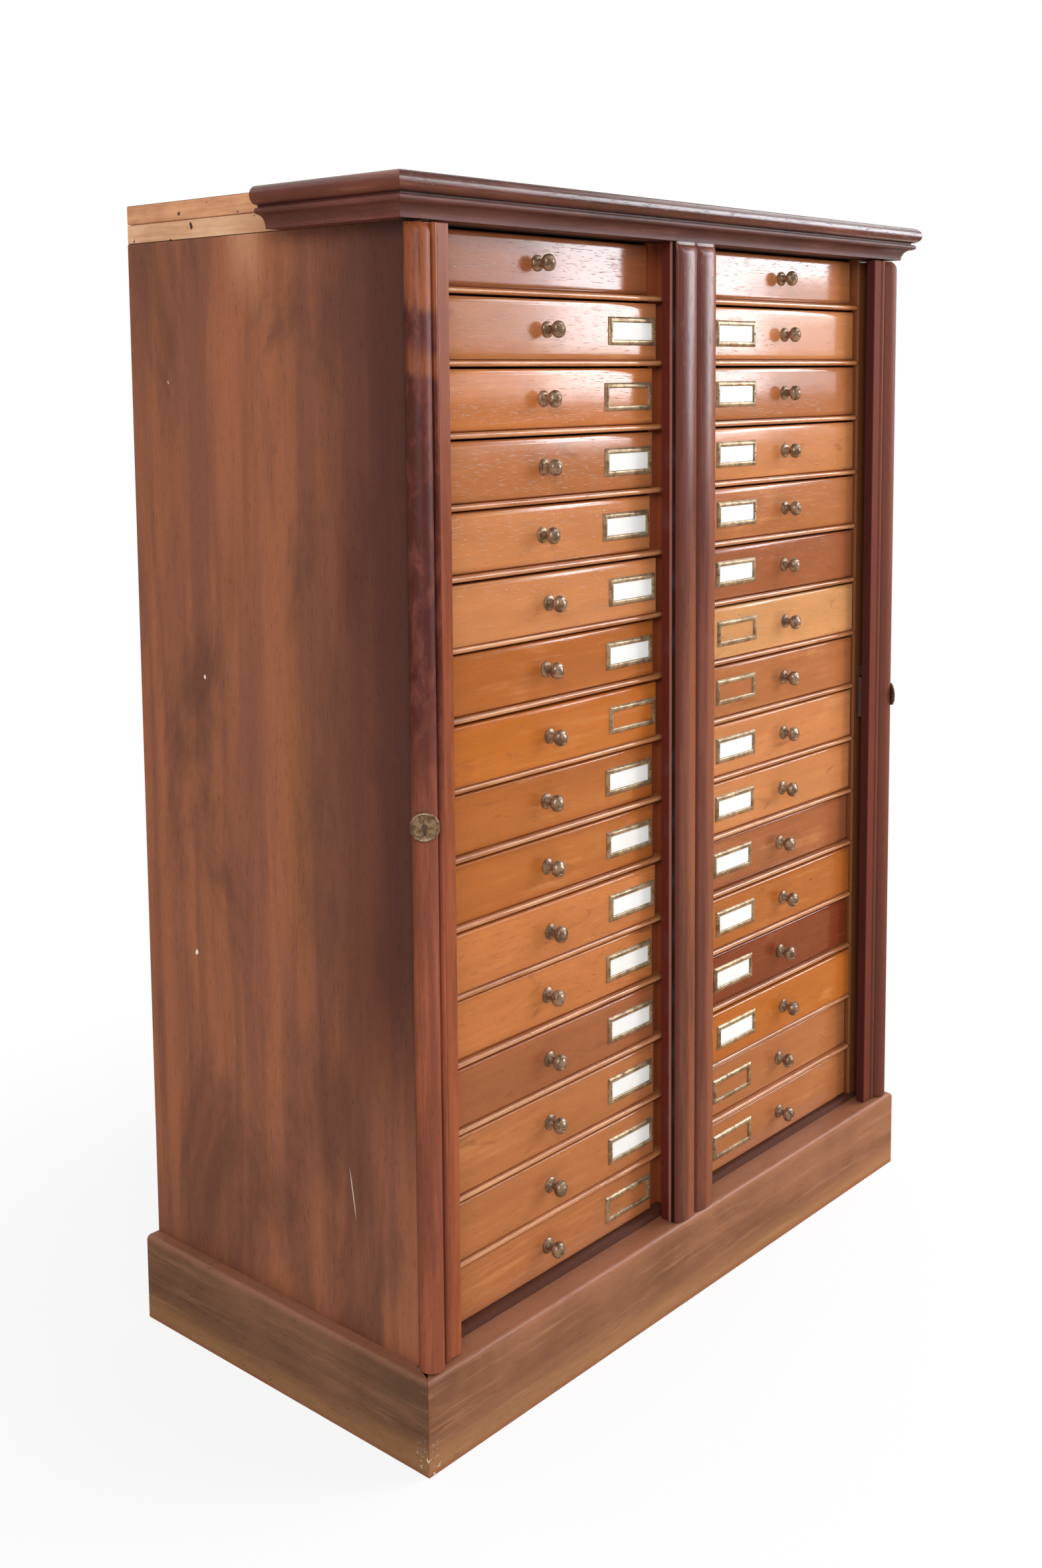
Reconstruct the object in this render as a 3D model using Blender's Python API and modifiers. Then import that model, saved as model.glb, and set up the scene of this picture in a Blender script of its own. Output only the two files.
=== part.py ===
"""A mahogany specimen filing cabinet: two banks of shallow drawers between two hinged locking stiles.

Metres, +Z up, the front faces -Y. Places along Y are first measured from the centre line of the two
corner reeds, back being positive, and the root empty then moves the origin to the middle of the base.
"""

import math

import bmesh
import bpy
from mathutils import Matrix, Vector

# Carcass
WIDTH = 0.824            # across the outer faces of the side panels
DEPTH = 0.414            # reed centre line to the back of the carcass
SIDE_T = 0.016           # side panel thickness
BACK_T = 0.010           # back panel thickness
TOP_T = 0.0385           # thickness of the built-up top
TOP_FRONT = 0.016        # front edge of the top board
PARTITION_T = 0.038      # centre partition thickness
GUIDE_FRONT = 0.030      # where the drawer guides on the partition begin
BASE_T = 0.018           # base board thickness
BASE_LIFT = 0.0077       # base board's face above the plinth's top edge

# Plinth
PLINTH_H = 0.093
PLINTH_OUT = 0.016       # how far it stands out beyond the side panels
PLINTH_FRONT = 0.0135    # how far its face stands in front of the reed line
PLINTH_BACK_T = 0.018
PLINTH_EASE = 0.005      # rounding of its upper edge

# Cornice moulding
CORNICE_OUT = 0.040      # projection of the nosing
CORNICE_FILLET = 0.032   # projection of the fillet below the nosing
CORNICE_FOOT = 0.021     # projection at the foot of the hollow
NOSING_H = 0.020
FILLET_H = 0.005
CORNICE_LEFT_END = 0.172  # the left return stops here, the rest of it is lost

# Drawers
ROWS = 16
PITCH = 0.0667           # height from one dust board to the next
TOP_OPENING = 0.0553     # height of the top row, which is shorter
DUST_T = 0.006           # dust board thickness
DUST_FRONT = 0.0175      # front edge of the dust boards
END_GAP = 0.018          # partition face to the inner end of a drawer
HOME = 0.030             # face of a drawer that is pushed home
FRONT_T = 0.016          # drawer front thickness
FRONT_EASE = 0.004       # rounding round the drawer front
HEAD_GAP = 0.0022        # drawer front to the dust board above
BOX_DROP = 0.008         # drawer sides lower than the front
BOX_T = 0.007            # drawer side and back thickness
BOTTOM_T = 0.005
BOX_INSET = 0.001        # drawer sides in from the ends of the front
STOP_GAP = 0.001         # drawer back to the back panel when home
STAND_OUT = {            # how far each drawer stands out from home, in millimetres, top row first
    "left": (2, 14, 9, 9, 6, 14, 10, 14, 9, 10, 13, 9, 11, 11, 11, 7),
    "right": (3, 8, 9, 10, 11, 10, 12, 11, 11, 10, 7, 12, 9, 14, 8, 9),
}
KNOB_X = 0.2145          # knob centre from the middle of the cabinet
KNOB_R = 0.0085
KNOB_FLANGE_R = 0.008
KNOB_NECK_R = 0.0042
KNOB_OUT = 0.021
KNOB_SIDES = 12
CARD_W = 0.068           # opening of the card frame
CARD_H = 0.020
CARD_RIM = 0.004
CARD_PROUD = 0.0012
CARD_X = {"left": 0.081, "right": 0.115}

# Locking stiles and pilaster
REED_R = 0.012
REED_INSET = 0.0035      # reed centre in from the side panel's face
LIP_W = 0.0365           # reed centre to the inner edge of the stile
LIP_FRONT = 0.0045       # lip's face in front of the reed line
LIP_BACK = 0.006
QUIRK_W = 0.0025         # groove between lip and reed
QUIRK_D = 0.002
STILE_CLEAR = 0.002      # stile edge to the ends of the drawers
PIVOT_OUT = 0.0035       # pivot axis out from the side panel's face
PIVOT_BACK = 0.009       # pivot axis behind the reed line
PIVOT_PIN_R = 0.0016
PIVOT_PIN_L = 0.008
PIVOT_EAR_R = 0.0035
PLATE_T = 0.002
PILASTER_W = 0.069
PILASTER_BACK = 0.012
PILASTER_REED_D = 0.005  # how far its two reeds swell

# Locks
LOCK_Z = 0.617           # keyhole height
ESCUTCHEON_R = 0.0135
ESCUTCHEON_T = 0.0025
KEYHOLE_R = 0.0022
KEYHOLE_SLOT = 0.006
CASE_W = 0.015
CASE_T = 0.0075
CASE_H = 0.050
CASE_TO_EDGE = 0.004     # lock case in from the stile's inner edge
BOLT_W = 0.005
BOLT_T = 0.003
BOLT_L = 0.034
BOLT_THROW = 0.008
KEEPER_H = 0.012
KEEPER_CLEAR = 0.001     # lock bolt to the leg of its keeper

# Clearances
GAP = 0.0003             # between pieces that rest on or against each other
RUN_CLEAR = 0.0015       # drawer sides to the guides
PIN_CLEAR = 0.0001       # round the pivot pins
BOLT_CLEAR = 0.0003      # round the lock bolts
EAR_CLEAR = 0.0005       # hinge ears to the front edges of the side panels
CUT = 0.002              # how far a cutter runs past the face that it opens

# Levels and lines worked out from the sizes above
HALF = WIDTH / 2
BASE_TOP = PLINTH_H + BASE_LIFT
CEILING = BASE_TOP + (ROWS - 1) * PITCH + TOP_OPENING
HEIGHT = CEILING + GAP + TOP_T
BACK_FACE = DEPTH - BACK_T
REED_X = HALF - REED_INSET
LIP_EDGE = REED_X - LIP_W
DRAWER_OUT = LIP_EDGE - STILE_CLEAR
DRAWER_IN = PARTITION_T / 2 + END_GAP
DRAWER_W = DRAWER_OUT - DRAWER_IN
DRAWER_L = BACK_FACE - HOME - STOP_GAP
LINING_IN = DRAWER_OUT + RUN_CLEAR
LINING_OUT = HALF - SIDE_T - GAP
GUIDE_FACE = DRAWER_IN - RUN_CLEAR
PIVOT_X = HALF + PIVOT_OUT
SIDE_FRONT = PIVOT_BACK + PIVOT_EAR_R + EAR_CLEAR
STILE_FOOT = PLINTH_H + PLATE_T + 2 * GAP
STILE_HEAD = CEILING - PLATE_T / 2
CASE_X = LIP_EDGE + CASE_TO_EDGE + CASE_W / 2
CASE_Y = LIP_BACK + GAP + CASE_T / 2
CASE_TOP = LOCK_Z + CASE_H / 2
MIDDLE = (DEPTH + TOP_FRONT - CORNICE_OUT) / 2

SIDES = {"left": -1, "right": 1}


def clear_scene():
    for old in list(bpy.data.objects):
        bpy.data.objects.remove(old, do_unlink=True)


clear_scene()
cabinet = bpy.data.collections.new("filing_cabinet")
cutters = bpy.data.collections.new("cutters")
bpy.context.scene.collection.children.link(cabinet)
bpy.context.scene.collection.children.link(cutters)
root = bpy.data.objects.new("cabinet_root", None)
root.location = (0, -MIDDLE, 0)
cabinet.objects.link(root)


def material(name, colour, roughness, metallic=0.0):
    made = bpy.data.materials.new(name)
    made.use_nodes = True
    shader = made.node_tree.nodes["Principled BSDF"]
    shader.inputs["Base Color"].default_value = (*colour, 1)
    shader.inputs["Roughness"].default_value = roughness
    shader.inputs["Metallic"].default_value = metallic
    return made


MAHOGANY = material("polished_mahogany", (0.13, 0.035, 0.018), 0.30)
SIDE_WOOD = material("side_mahogany", (0.15, 0.05, 0.025), 0.42)
DRAWER_WOOD = material("drawer_mahogany", (0.42, 0.15, 0.045), 0.32)
PINE = material("carcass_pine", (0.50, 0.33, 0.18), 0.65)
BRASS = material("aged_brass", (0.30, 0.22, 0.11), 0.38, 1.0)
STEEL = material("lock_steel", (0.33, 0.32, 0.31), 0.42, 1.0)


def mesh_from(bm, name):
    bmesh.ops.recalc_face_normals(bm, faces=bm.faces)
    mesh = bpy.data.meshes.new(name)
    bm.to_mesh(mesh)
    bm.free()
    return mesh


def add(name, mesh, look, place=(0, 0, 0)):
    """Puts a piece in the cabinet under its node name, on the root empty."""
    piece = bpy.data.objects.new(name, mesh)
    piece.location = place
    piece.parent = root
    mesh.materials.clear()
    mesh.materials.append(look)
    cabinet.objects.link(piece)
    return piece


def helper(name, mesh):
    """Puts a cutter or a template aside, where it is no piece of the cabinet."""
    tool = bpy.data.objects.new(name, mesh)
    tool.hide_render = True
    tool.display_type = "WIRE"
    cutters.objects.link(tool)
    return tool


def prism(name, section, far):
    """Extrudes a closed ring of points; far moves each point of the second end to its place."""
    bm = bmesh.new()
    face = bm.faces.new([bm.verts.new(point) for point in section])
    pulled = bmesh.ops.extrude_face_region(bm, geom=[face])["geom"]
    for part in pulled:
        if isinstance(part, bmesh.types.BMVert):
            part.co = far(part.co)
    return mesh_from(bm, name)


def upright(name, plan, low, high):
    """A plan outline in X and Y, raised from low to high."""
    return prism(name, [(x, y, low) for x, y in plan], lambda co: Vector((co.x, co.y, high)))


def lengthways(name, section, front, back):
    """A section in X and Z, run from front to back along Y."""
    return prism(name, [(x, front, z) for x, z in section], lambda co: Vector((co.x, back, co.z)))


def block(name, low, high):
    """A box between two corners."""
    size = Vector(high) - Vector(low)
    centre = (Vector(high) + Vector(low)) / 2
    bm = bmesh.new()
    bmesh.ops.create_cube(bm, size=1, matrix=Matrix.Translation(centre) @ Matrix.Diagonal((*size, 1)))
    return mesh_from(bm, name)


def arc(cx, cy, radius, start, end, steps):
    """Points on a circle from one angle to another, in degrees."""
    turn = [math.radians(start + (end - start) * i / steps) for i in range(steps + 1)]
    return [(cx + radius * math.cos(a), cy + radius * math.sin(a)) for a in turn]


def boolean(piece, other, operation):
    change = piece.modifiers.new(operation.lower() + "_" + other.name, "BOOLEAN")
    change.operation = operation
    change.object = other
    change.solver = "EXACT"


def baked(piece):
    """The piece's mesh with its modifiers worked in."""
    bpy.context.view_layer.update()
    graph = bpy.context.evaluated_depsgraph_get()
    return bpy.data.meshes.new_from_object(piece.evaluated_get(graph))


def mirrored(points, side):
    """An outline drawn for the right-hand side, moved to the side that is asked for."""
    return [(SIDES[side] * x, y) for x, y in points]


def ordered(a, b):
    return (min(a, b), max(a, b))


def side_box(name, side, low, high):
    """A box given for the right-hand side, moved to the side that is asked for."""
    left, right = ordered(SIDES[side] * low[0], SIDES[side] * high[0])
    return block(name, (left, low[1], low[2]), (right, high[1], high[2]))


def ease_edges(mesh, chosen, radius, steps):
    """Rounds the edges for which chosen is true."""
    bm = bmesh.new()
    bm.from_mesh(mesh)
    edges = [edge for edge in bm.edges if chosen(edge)]
    bmesh.ops.bevel(bm, geom=edges, offset=radius, segments=steps, profile=0.5, affect="EDGES")
    bmesh.ops.recalc_face_normals(bm, faces=bm.faces)
    bm.to_mesh(mesh)
    bm.free()


def near(a, b):
    return abs(a - b) < 1e-6


# Plinth: a mitred front and sides with an eased upper edge, and a plain rail at the back
def make_plinth():
    outer = HALF + PLINTH_OUT
    face = -PLINTH_FRONT
    inner = HALF + GAP
    ledge = TOP_FRONT + GAP / 2
    mitre = face + PLINTH_OUT - GAP
    room = HALF - SIDE_T - GAP
    notch = SIDE_FRONT - GAP
    right = [(outer, face), (inner, mitre), (inner, notch), (room, notch), (room, ledge)]
    mesh = upright("plinth_front", right + mirrored(right[::-1], "left"), 0, PLINTH_H)
    ease_edges(
        mesh,
        lambda e: all(near(v.co.z, PLINTH_H) and near(v.co.y, face) for v in e.verts),
        PLINTH_EASE,
        2,
    )
    add("plinth_front", mesh, MAHOGANY)
    step = 2 * GAP
    for side in SIDES:
        plan = [(outer, face + step), (outer, DEPTH), (inner, DEPTH), (inner, mitre + step)]
        mesh = upright("plinth_" + side, mirrored(plan, side), 0, PLINTH_H)
        ease_edges(
            mesh,
            lambda e: all(near(v.co.z, PLINTH_H) and near(abs(v.co.x), outer) for v in e.verts),
            PLINTH_EASE,
            2,
        )
        board = add("plinth_" + side, mesh, MAHOGANY)
        socket = pin_hole(side, "plinth_socket_" + side, PLINTH_H - PIVOT_PIN_L, PLINTH_H + CUT)
        boolean(board, socket, "DIFFERENCE")
    low = (-room, BACK_FACE - GAP - PLINTH_BACK_T, 0)
    add("plinth_back", block("plinth_back", low, (room, BACK_FACE - GAP, BASE_TOP - BASE_T - GAP)), PINE)


def pin_hole(side, name, low, high):
    """A cutter on a stile's pivot axis."""
    bm = bmesh.new()
    place = Matrix.Translation((SIDES[side] * PIVOT_X, PIVOT_BACK, (low + high) / 2))
    bmesh.ops.create_cone(
        bm,
        cap_ends=True,
        segments=12,
        radius1=PIVOT_PIN_R + PIN_CLEAR,
        radius2=PIVOT_PIN_R + PIN_CLEAR,
        depth=high - low,
        matrix=place,
    )
    tool = helper(name, mesh_from(bm, name))
    tool.parent = root
    return tool


# Carcass boards
def make_carcass():
    room = HALF - SIDE_T - GAP
    base_low = (-room, TOP_FRONT + GAP, BASE_TOP - BASE_T)
    add("base_board", block("base_board", base_low, (room, BACK_FACE - GAP, BASE_TOP)), PINE)
    for side in SIDES:
        low = (HALF - SIDE_T, SIDE_FRONT, 0)
        mesh = side_box("side_panel_" + side, side, low, (HALF, DEPTH, CEILING))
        add("side_panel_" + side, mesh, SIDE_WOOD)
    add("back_panel", block("back_panel", (-room, BACK_FACE, 0), (room, DEPTH, CEILING)), PINE)
    half = PARTITION_T / 2
    front = PILASTER_BACK + GAP
    plan = [
        (-half, front),
        (half, front),
        (half, GUIDE_FRONT),
        (GUIDE_FACE, GUIDE_FRONT),
        (GUIDE_FACE, BACK_FACE - GAP),
        (-GUIDE_FACE, BACK_FACE - GAP),
        (-GUIDE_FACE, GUIDE_FRONT),
        (-half, GUIDE_FRONT),
    ]
    add("centre_partition", upright("centre_partition", plan, BASE_TOP + GAP, CEILING), PINE)
    top_low = (-HALF, TOP_FRONT, CEILING + GAP)
    add("top_board", block("top_board", top_low, (HALF, DEPTH, HEIGHT)), MAHOGANY)


# Cornice: one section, a round nosing over a fillet and a hollow, run along three sides and mitred
def cornice_section():
    """Projection and height, from the foot of the section round to its top."""
    foot = CEILING + GAP
    nosing = HEIGHT - NOSING_H
    fillet = nosing - FILLET_H
    hollow = CORNICE_FILLET - CORNICE_FOOT
    rise = fillet - foot
    inner = GAP
    curve = [
        (CORNICE_FILLET - hollow * math.cos(t), foot + rise * math.sin(t))
        for t in [math.radians(90 * i / 4) for i in range(5)]
    ]
    swell = CORNICE_OUT - CORNICE_FILLET
    nose = [
        (CORNICE_FILLET + swell * math.cos(t), nosing + NOSING_H / 2 + NOSING_H / 2 * math.sin(t))
        for t in [math.radians(-90 + 180 * i / 6) for i in range(7)]
    ]
    return [(inner, foot)] + curve + [(CORNICE_FILLET, nosing)] + nose[1:] + [(inner, HEIGHT)]


def make_cornice():
    section = cornice_section()
    ring = [(-HALF - out, TOP_FRONT - out, z) for out, z in section]
    mesh = prism("cornice_front", ring, lambda co: Vector((-co.x, co.y, co.z)))
    front = add("cornice_front", mesh, MAHOGANY)
    for side, end in (("left", CORNICE_LEFT_END), ("right", DEPTH)):
        socket = pin_hole(side, "cornice_socket_" + side, CEILING - CUT, CEILING + GAP + PIVOT_PIN_L)
        boolean(front, socket, "DIFFERENCE")
        ring = [(SIDES[side] * (HALF + out), TOP_FRONT - out + 2 * GAP, z) for out, z in section]
        mesh = prism("cornice_" + side, ring, lambda co: Vector((co.x, end, co.z)))
        add("cornice_" + side, mesh, MAHOGANY)


# Dust boards: the boards of a bank are housed in a lining that stands against the side panel
def make_rack(side):
    section = [(LINING_OUT, BASE_TOP + GAP), (LINING_OUT, CEILING), (LINING_IN, CEILING)]
    inner = PARTITION_T / 2 + GAP
    for row in range(ROWS - 1, 0, -1):
        level = BASE_TOP + row * PITCH
        section += [(LINING_IN, level), (inner, level), (inner, level - DUST_T), (LINING_IN, level - DUST_T)]
    section.append((LINING_IN, BASE_TOP + GAP))
    mesh = lengthways("drawer_rack_" + side, mirrored(section, side), DUST_FRONT, BACK_FACE - GAP)
    rack = add("drawer_rack_" + side, mesh, DRAWER_WOOD)
    low = (0, GUIDE_FRONT - GAP, 0)
    guide = side_box("guide_room_" + side, side, low, (GUIDE_FACE + GAP, DEPTH, HEIGHT))
    guide_room = helper("guide_room_" + side, guide)
    guide_room.parent = root
    boolean(rack, guide_room, "DIFFERENCE")


# Lock keeper: a steel angle screwed to the lining, which the raised bolt stands behind
def make_keeper(side):
    inner = CASE_X - CASE_W / 2
    outer = CASE_X + CASE_W / 2
    leg = CASE_X + BOLT_W / 2 + KEEPER_CLEAR
    face = LIP_BACK + GAP
    strike = CASE_Y - BOLT_T / 2 - BOLT_CLEAR
    root_end = DUST_FRONT - GAP
    plan = [(inner, face), (outer, face), (outer, root_end), (leg, root_end), (leg, strike), (inner, strike)]
    low = CASE_TOP + GAP
    mesh = upright("lock_keeper_" + side, mirrored(plan, side), low, low + KEEPER_H)
    add("lock_keeper_" + side, mesh, STEEL)


def bolt_box(name, side, low, high, spare):
    """The room that a lock bolt takes, with some spare all round."""
    half_w = BOLT_W / 2 + spare
    half_t = BOLT_T / 2 + spare
    far = (CASE_X + half_w, CASE_Y + half_t, high)
    return side_box(name, side, (CASE_X - half_w, CASE_Y - half_t, low), far)


# Locking stile: a corner reed with a flat lip, turning on its own pin above and a brass hinge below
def make_stile(side):
    quirk = REED_X - REED_R - QUIRK_W
    floor = QUIRK_D - LIP_FRONT
    meet = math.degrees(math.asin(floor / REED_R))
    back_meet = math.degrees(math.asin(LIP_BACK / REED_R))
    plan = [(LIP_EDGE, LIP_BACK), (LIP_EDGE, -LIP_FRONT), (quirk, -LIP_FRONT), (quirk, floor)]
    plan += arc(REED_X, 0, REED_R, 180 - meet, 540 - back_meet, 14)
    origin = (PIVOT_X, PIVOT_BACK)
    plan = mirrored([(x - origin[0], y - origin[1]) for x, y in plan], side)
    mesh = upright("locking_stile_" + side, plan, STILE_FOOT, STILE_HEAD)
    axis = (SIDES[side] * PIVOT_X, PIVOT_BACK, 0)
    stile = add("locking_stile_" + side, mesh, MAHOGANY, axis)
    head = helper("stile_head_" + side, hinge_plate("stile_head_" + side, side, CEILING - PLATE_T, 1))
    head.parent = stile
    boolean(stile, head, "UNION")
    mesh = hinge_plate("pivot_bottom_" + side, side, PLINTH_H + GAP, -1)
    hinge = add("pivot_bottom_" + side, mesh, BRASS)
    hinge.parent = stile
    return stile


def hinge_plate(name, side, low, reach):
    """A plate under or over the stile, with an ear that carries the pivot pin."""
    ear = arc(0, 0, PIVOT_EAR_R, -60, 150, 8)
    tail_x = REED_X - REED_R - PIVOT_X
    tail_y = -PIVOT_BACK
    plan = mirrored(ear + [(tail_x, tail_y + PIVOT_EAR_R), (tail_x, tail_y - PIVOT_EAR_R)], side)
    plate = helper(name + "_plate", upright(name, plan, low, low + PLATE_T))
    bm = bmesh.new()
    middle = low + PLATE_T / 2
    tip = middle + reach * (PLATE_T / 2 + PIVOT_PIN_L - CUT)
    bmesh.ops.create_cone(
        bm,
        cap_ends=True,
        segments=12,
        radius1=PIVOT_PIN_R,
        radius2=PIVOT_PIN_R,
        depth=abs(tip - middle),
        matrix=Matrix.Translation((0, 0, (tip + middle) / 2)),
    )
    pin = helper(name + "_pin", mesh_from(bm, name + "_pin"))
    boolean(plate, pin, "UNION")
    return baked(plate)


# Lock: a round escutcheon on the corner reed, a case behind the lip and a bolt that shoots upwards
def make_lock(side, stile):
    bm = bmesh.new()
    bmesh.ops.create_cone(
        bm, cap_ends=True, segments=24, radius1=ESCUTCHEON_R, radius2=ESCUTCHEON_R * 0.86, depth=ESCUTCHEON_T
    )
    plate = helper("escutcheon_blank_" + side, mesh_from(bm, "escutcheon"))
    bm = bmesh.new()
    bmesh.ops.create_cone(
        bm, cap_ends=True, segments=12, radius1=KEYHOLE_R, radius2=KEYHOLE_R, depth=ESCUTCHEON_T + CUT
    )
    round_cut = helper("keyhole_round_" + side, mesh_from(bm, "keyhole_round"))
    half = KEYHOLE_R * 0.6
    reach = ESCUTCHEON_T / 2 + CUT
    mesh = block("keyhole_slot", (-half, -KEYHOLE_SLOT, -reach), (half, 0, reach))
    slot_cut = helper("keyhole_slot_" + side, mesh)
    boolean(plate, round_cut, "DIFFERENCE")
    boolean(plate, slot_cut, "DIFFERENCE")
    escutcheon = add("escutcheon_" + side, baked(plate), BRASS)
    escutcheon.parent = stile
    slant = math.radians(45)
    stand = REED_R + GAP + ESCUTCHEON_T / 2
    centre_x = REED_X - PIVOT_X + stand * math.cos(slant)
    escutcheon.location = (SIDES[side] * centre_x, -PIVOT_BACK - stand * math.sin(slant), LOCK_Z)
    escutcheon.rotation_euler = (math.radians(90), 0, SIDES[side] * slant)
    low = (CASE_X - CASE_W / 2 - PIVOT_X, LIP_BACK + GAP - PIVOT_BACK, LOCK_Z - CASE_H / 2)
    high = (CASE_X + CASE_W / 2 - PIVOT_X, LIP_BACK + GAP + CASE_T - PIVOT_BACK, CASE_TOP)
    case = add("lock_case_" + side, side_box("lock_case", side, low, high), STEEL)
    case.parent = stile
    foot = CASE_TOP - BOLT_L
    mesh = bolt_box("bolt_channel", side, foot - BOLT_CLEAR, CASE_TOP + CUT, BOLT_CLEAR)
    channel = helper("bolt_channel_" + side, mesh)
    channel.parent = root
    boolean(case, channel, "DIFFERENCE")
    add("lock_bolt_" + side, bolt_box("lock_bolt", side, foot, CASE_TOP - BOLT_CLEAR, 0), STEEL)


# Centre pilaster: a board with two broad reeds worked on its face
def make_pilaster():
    half = PILASTER_W / 2
    root_line = PILASTER_REED_D - REED_R
    plan = [(half, root_line), (half, PILASTER_BACK), (-half, PILASTER_BACK), (-half, root_line)]
    steps = 8
    for middle in (-half / 2, half / 2):
        for i in range(1, steps):
            t = math.pi * i / steps
            x = middle - half / 2 * math.cos(t)
            plan.append((x, root_line - PILASTER_REED_D * math.sin(t)))
        if middle < 0:
            plan.append((0, root_line))
    add("centre_pilaster", upright("centre_pilaster", plan, PLINTH_H + GAP, CEILING), MAHOGANY)


# Drawers: a moulded front, an open box behind it, a turned knob and a card frame
def knob_profile():
    """Radius and distance from the drawer's face, from the crown of the knob down to its root."""
    head = KNOB_OUT * 0.45
    turns = (0.0, 0.6, 1.1, 1.57, 2.1)
    crown = [(KNOB_R * math.sin(t), KNOB_OUT - head + head * math.cos(t)) for t in turns]
    flange = KNOB_OUT * 0.12
    neck = [(KNOB_NECK_R, KNOB_OUT * 0.4), (KNOB_NECK_R, flange)]
    return crown + neck + [(KNOB_FLANGE_R, flange), (KNOB_FLANGE_R, -CUT), (0, -CUT)]


def knob_tool(name):
    bm = bmesh.new()
    points = [bm.verts.new((r, 0, z)) for r, z in knob_profile()]
    for a, b in zip(points, points[1:]):
        bm.edges.new((a, b))
    profile = bpy.data.meshes.new(name)
    bm.to_mesh(profile)
    bm.free()
    tool = helper(name, profile)
    turn = tool.modifiers.new("turning", "SCREW")
    turn.steps = turn.render_steps = KNOB_SIDES
    turn.use_merge_vertices = True
    turn.merge_threshold = 0.0001
    tool.rotation_euler = (math.radians(90), 0, 0)
    return tool


def drawer_mesh(side, opening, with_card):
    """A drawer with its face at y = 0, its foot at z = 0 and x measured from its middle."""
    label = f"drawer_{side}_{'card' if with_card else 'plain'}"
    half = DRAWER_W / 2
    tall = opening - GAP - HEAD_GAP
    mesh = block(label, (-half, 0, 0), (half, FRONT_T, tall))
    ease_edges(mesh, lambda e: all(near(v.co.y, 0) for v in e.verts), FRONT_EASE, 2)
    front = helper(label, mesh)
    side_x = half - BOX_INSET
    tray = block(label, (-side_x, FRONT_T - CUT, 0), (side_x, DRAWER_L, tall - BOX_DROP))
    box = helper(label + "_box", tray)
    room_x = side_x - BOX_T
    hollow = block(label, (-room_x, FRONT_T, BOTTOM_T), (room_x, DRAWER_L - BOX_T, tall + CUT))
    boolean(front, box, "UNION")
    boolean(front, helper(label + "_hollow", hollow), "DIFFERENCE")
    knob = knob_tool(label + "_knob")
    middle = (DRAWER_IN + DRAWER_OUT) / 2
    knob.location = (SIDES[side] * (KNOB_X - middle), 0, tall / 2)
    boolean(front, knob, "UNION")
    if with_card:
        x = SIDES[side] * (CARD_X[side] - middle)
        rim_x = CARD_W / 2 + CARD_RIM
        rim_z = CARD_H / 2 + CARD_RIM
        z = tall / 2
        plate = block(label, (x - rim_x, -CARD_PROUD, z - rim_z), (x + rim_x, CUT, z + rim_z))
        window = (x - CARD_W / 2, -CARD_PROUD - CUT, z - CARD_H / 2), (x + CARD_W / 2, 0, z + CARD_H / 2)
        frame = helper(label + "_frame", plate)
        boolean(frame, helper(label + "_window", block(label, *window)), "DIFFERENCE")
        boolean(front, frame, "UNION")
    made = baked(front)
    made.shade_smooth()
    made.set_sharp_from_angle(angle=math.radians(35))
    return made


def make_drawers(side):
    top_mesh = drawer_mesh(side, TOP_OPENING, False)
    mesh = drawer_mesh(side, PITCH - DUST_T, True)
    middle = SIDES[side] * (DRAWER_IN + DRAWER_OUT) / 2
    for number, stand_out in enumerate(STAND_OUT[side], 1):
        level = BASE_TOP + (ROWS - number) * PITCH + GAP
        shape = top_mesh if number == 1 else mesh
        face = HOME - stand_out / 1000
        add(f"drawer_{side}_{number:02d}", shape, DRAWER_WOOD, (middle, face, level))


make_plinth()
make_carcass()
make_cornice()
make_pilaster()
for hand in SIDES:
    make_rack(hand)
    make_keeper(hand)
    make_lock(hand, make_stile(hand))
    make_drawers(hand)
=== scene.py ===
"""The looks of a mahogany collector's cabinet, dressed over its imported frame."""

import math

import bmesh
import bpy
from mathutils import Matrix, Vector


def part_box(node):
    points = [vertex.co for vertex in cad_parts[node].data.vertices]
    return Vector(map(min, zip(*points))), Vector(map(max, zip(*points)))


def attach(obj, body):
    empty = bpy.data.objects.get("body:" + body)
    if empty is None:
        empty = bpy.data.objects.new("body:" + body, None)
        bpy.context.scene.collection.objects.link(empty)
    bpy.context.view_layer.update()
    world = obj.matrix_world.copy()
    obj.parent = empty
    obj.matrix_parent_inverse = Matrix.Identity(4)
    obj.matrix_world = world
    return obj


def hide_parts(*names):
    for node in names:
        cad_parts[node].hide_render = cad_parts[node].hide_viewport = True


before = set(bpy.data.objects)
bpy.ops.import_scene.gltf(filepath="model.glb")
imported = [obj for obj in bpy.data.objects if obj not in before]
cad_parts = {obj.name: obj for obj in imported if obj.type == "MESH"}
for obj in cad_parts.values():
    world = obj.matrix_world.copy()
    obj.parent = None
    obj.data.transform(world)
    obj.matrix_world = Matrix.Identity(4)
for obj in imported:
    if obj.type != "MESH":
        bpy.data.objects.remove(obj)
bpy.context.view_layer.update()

# Plinth: three planed mahogany boards, mitred at the front corners and glued round the foot of the
# carcass. The upper edge is rounded over; the foot is rubbed golden and chipped at the front corner.


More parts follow.
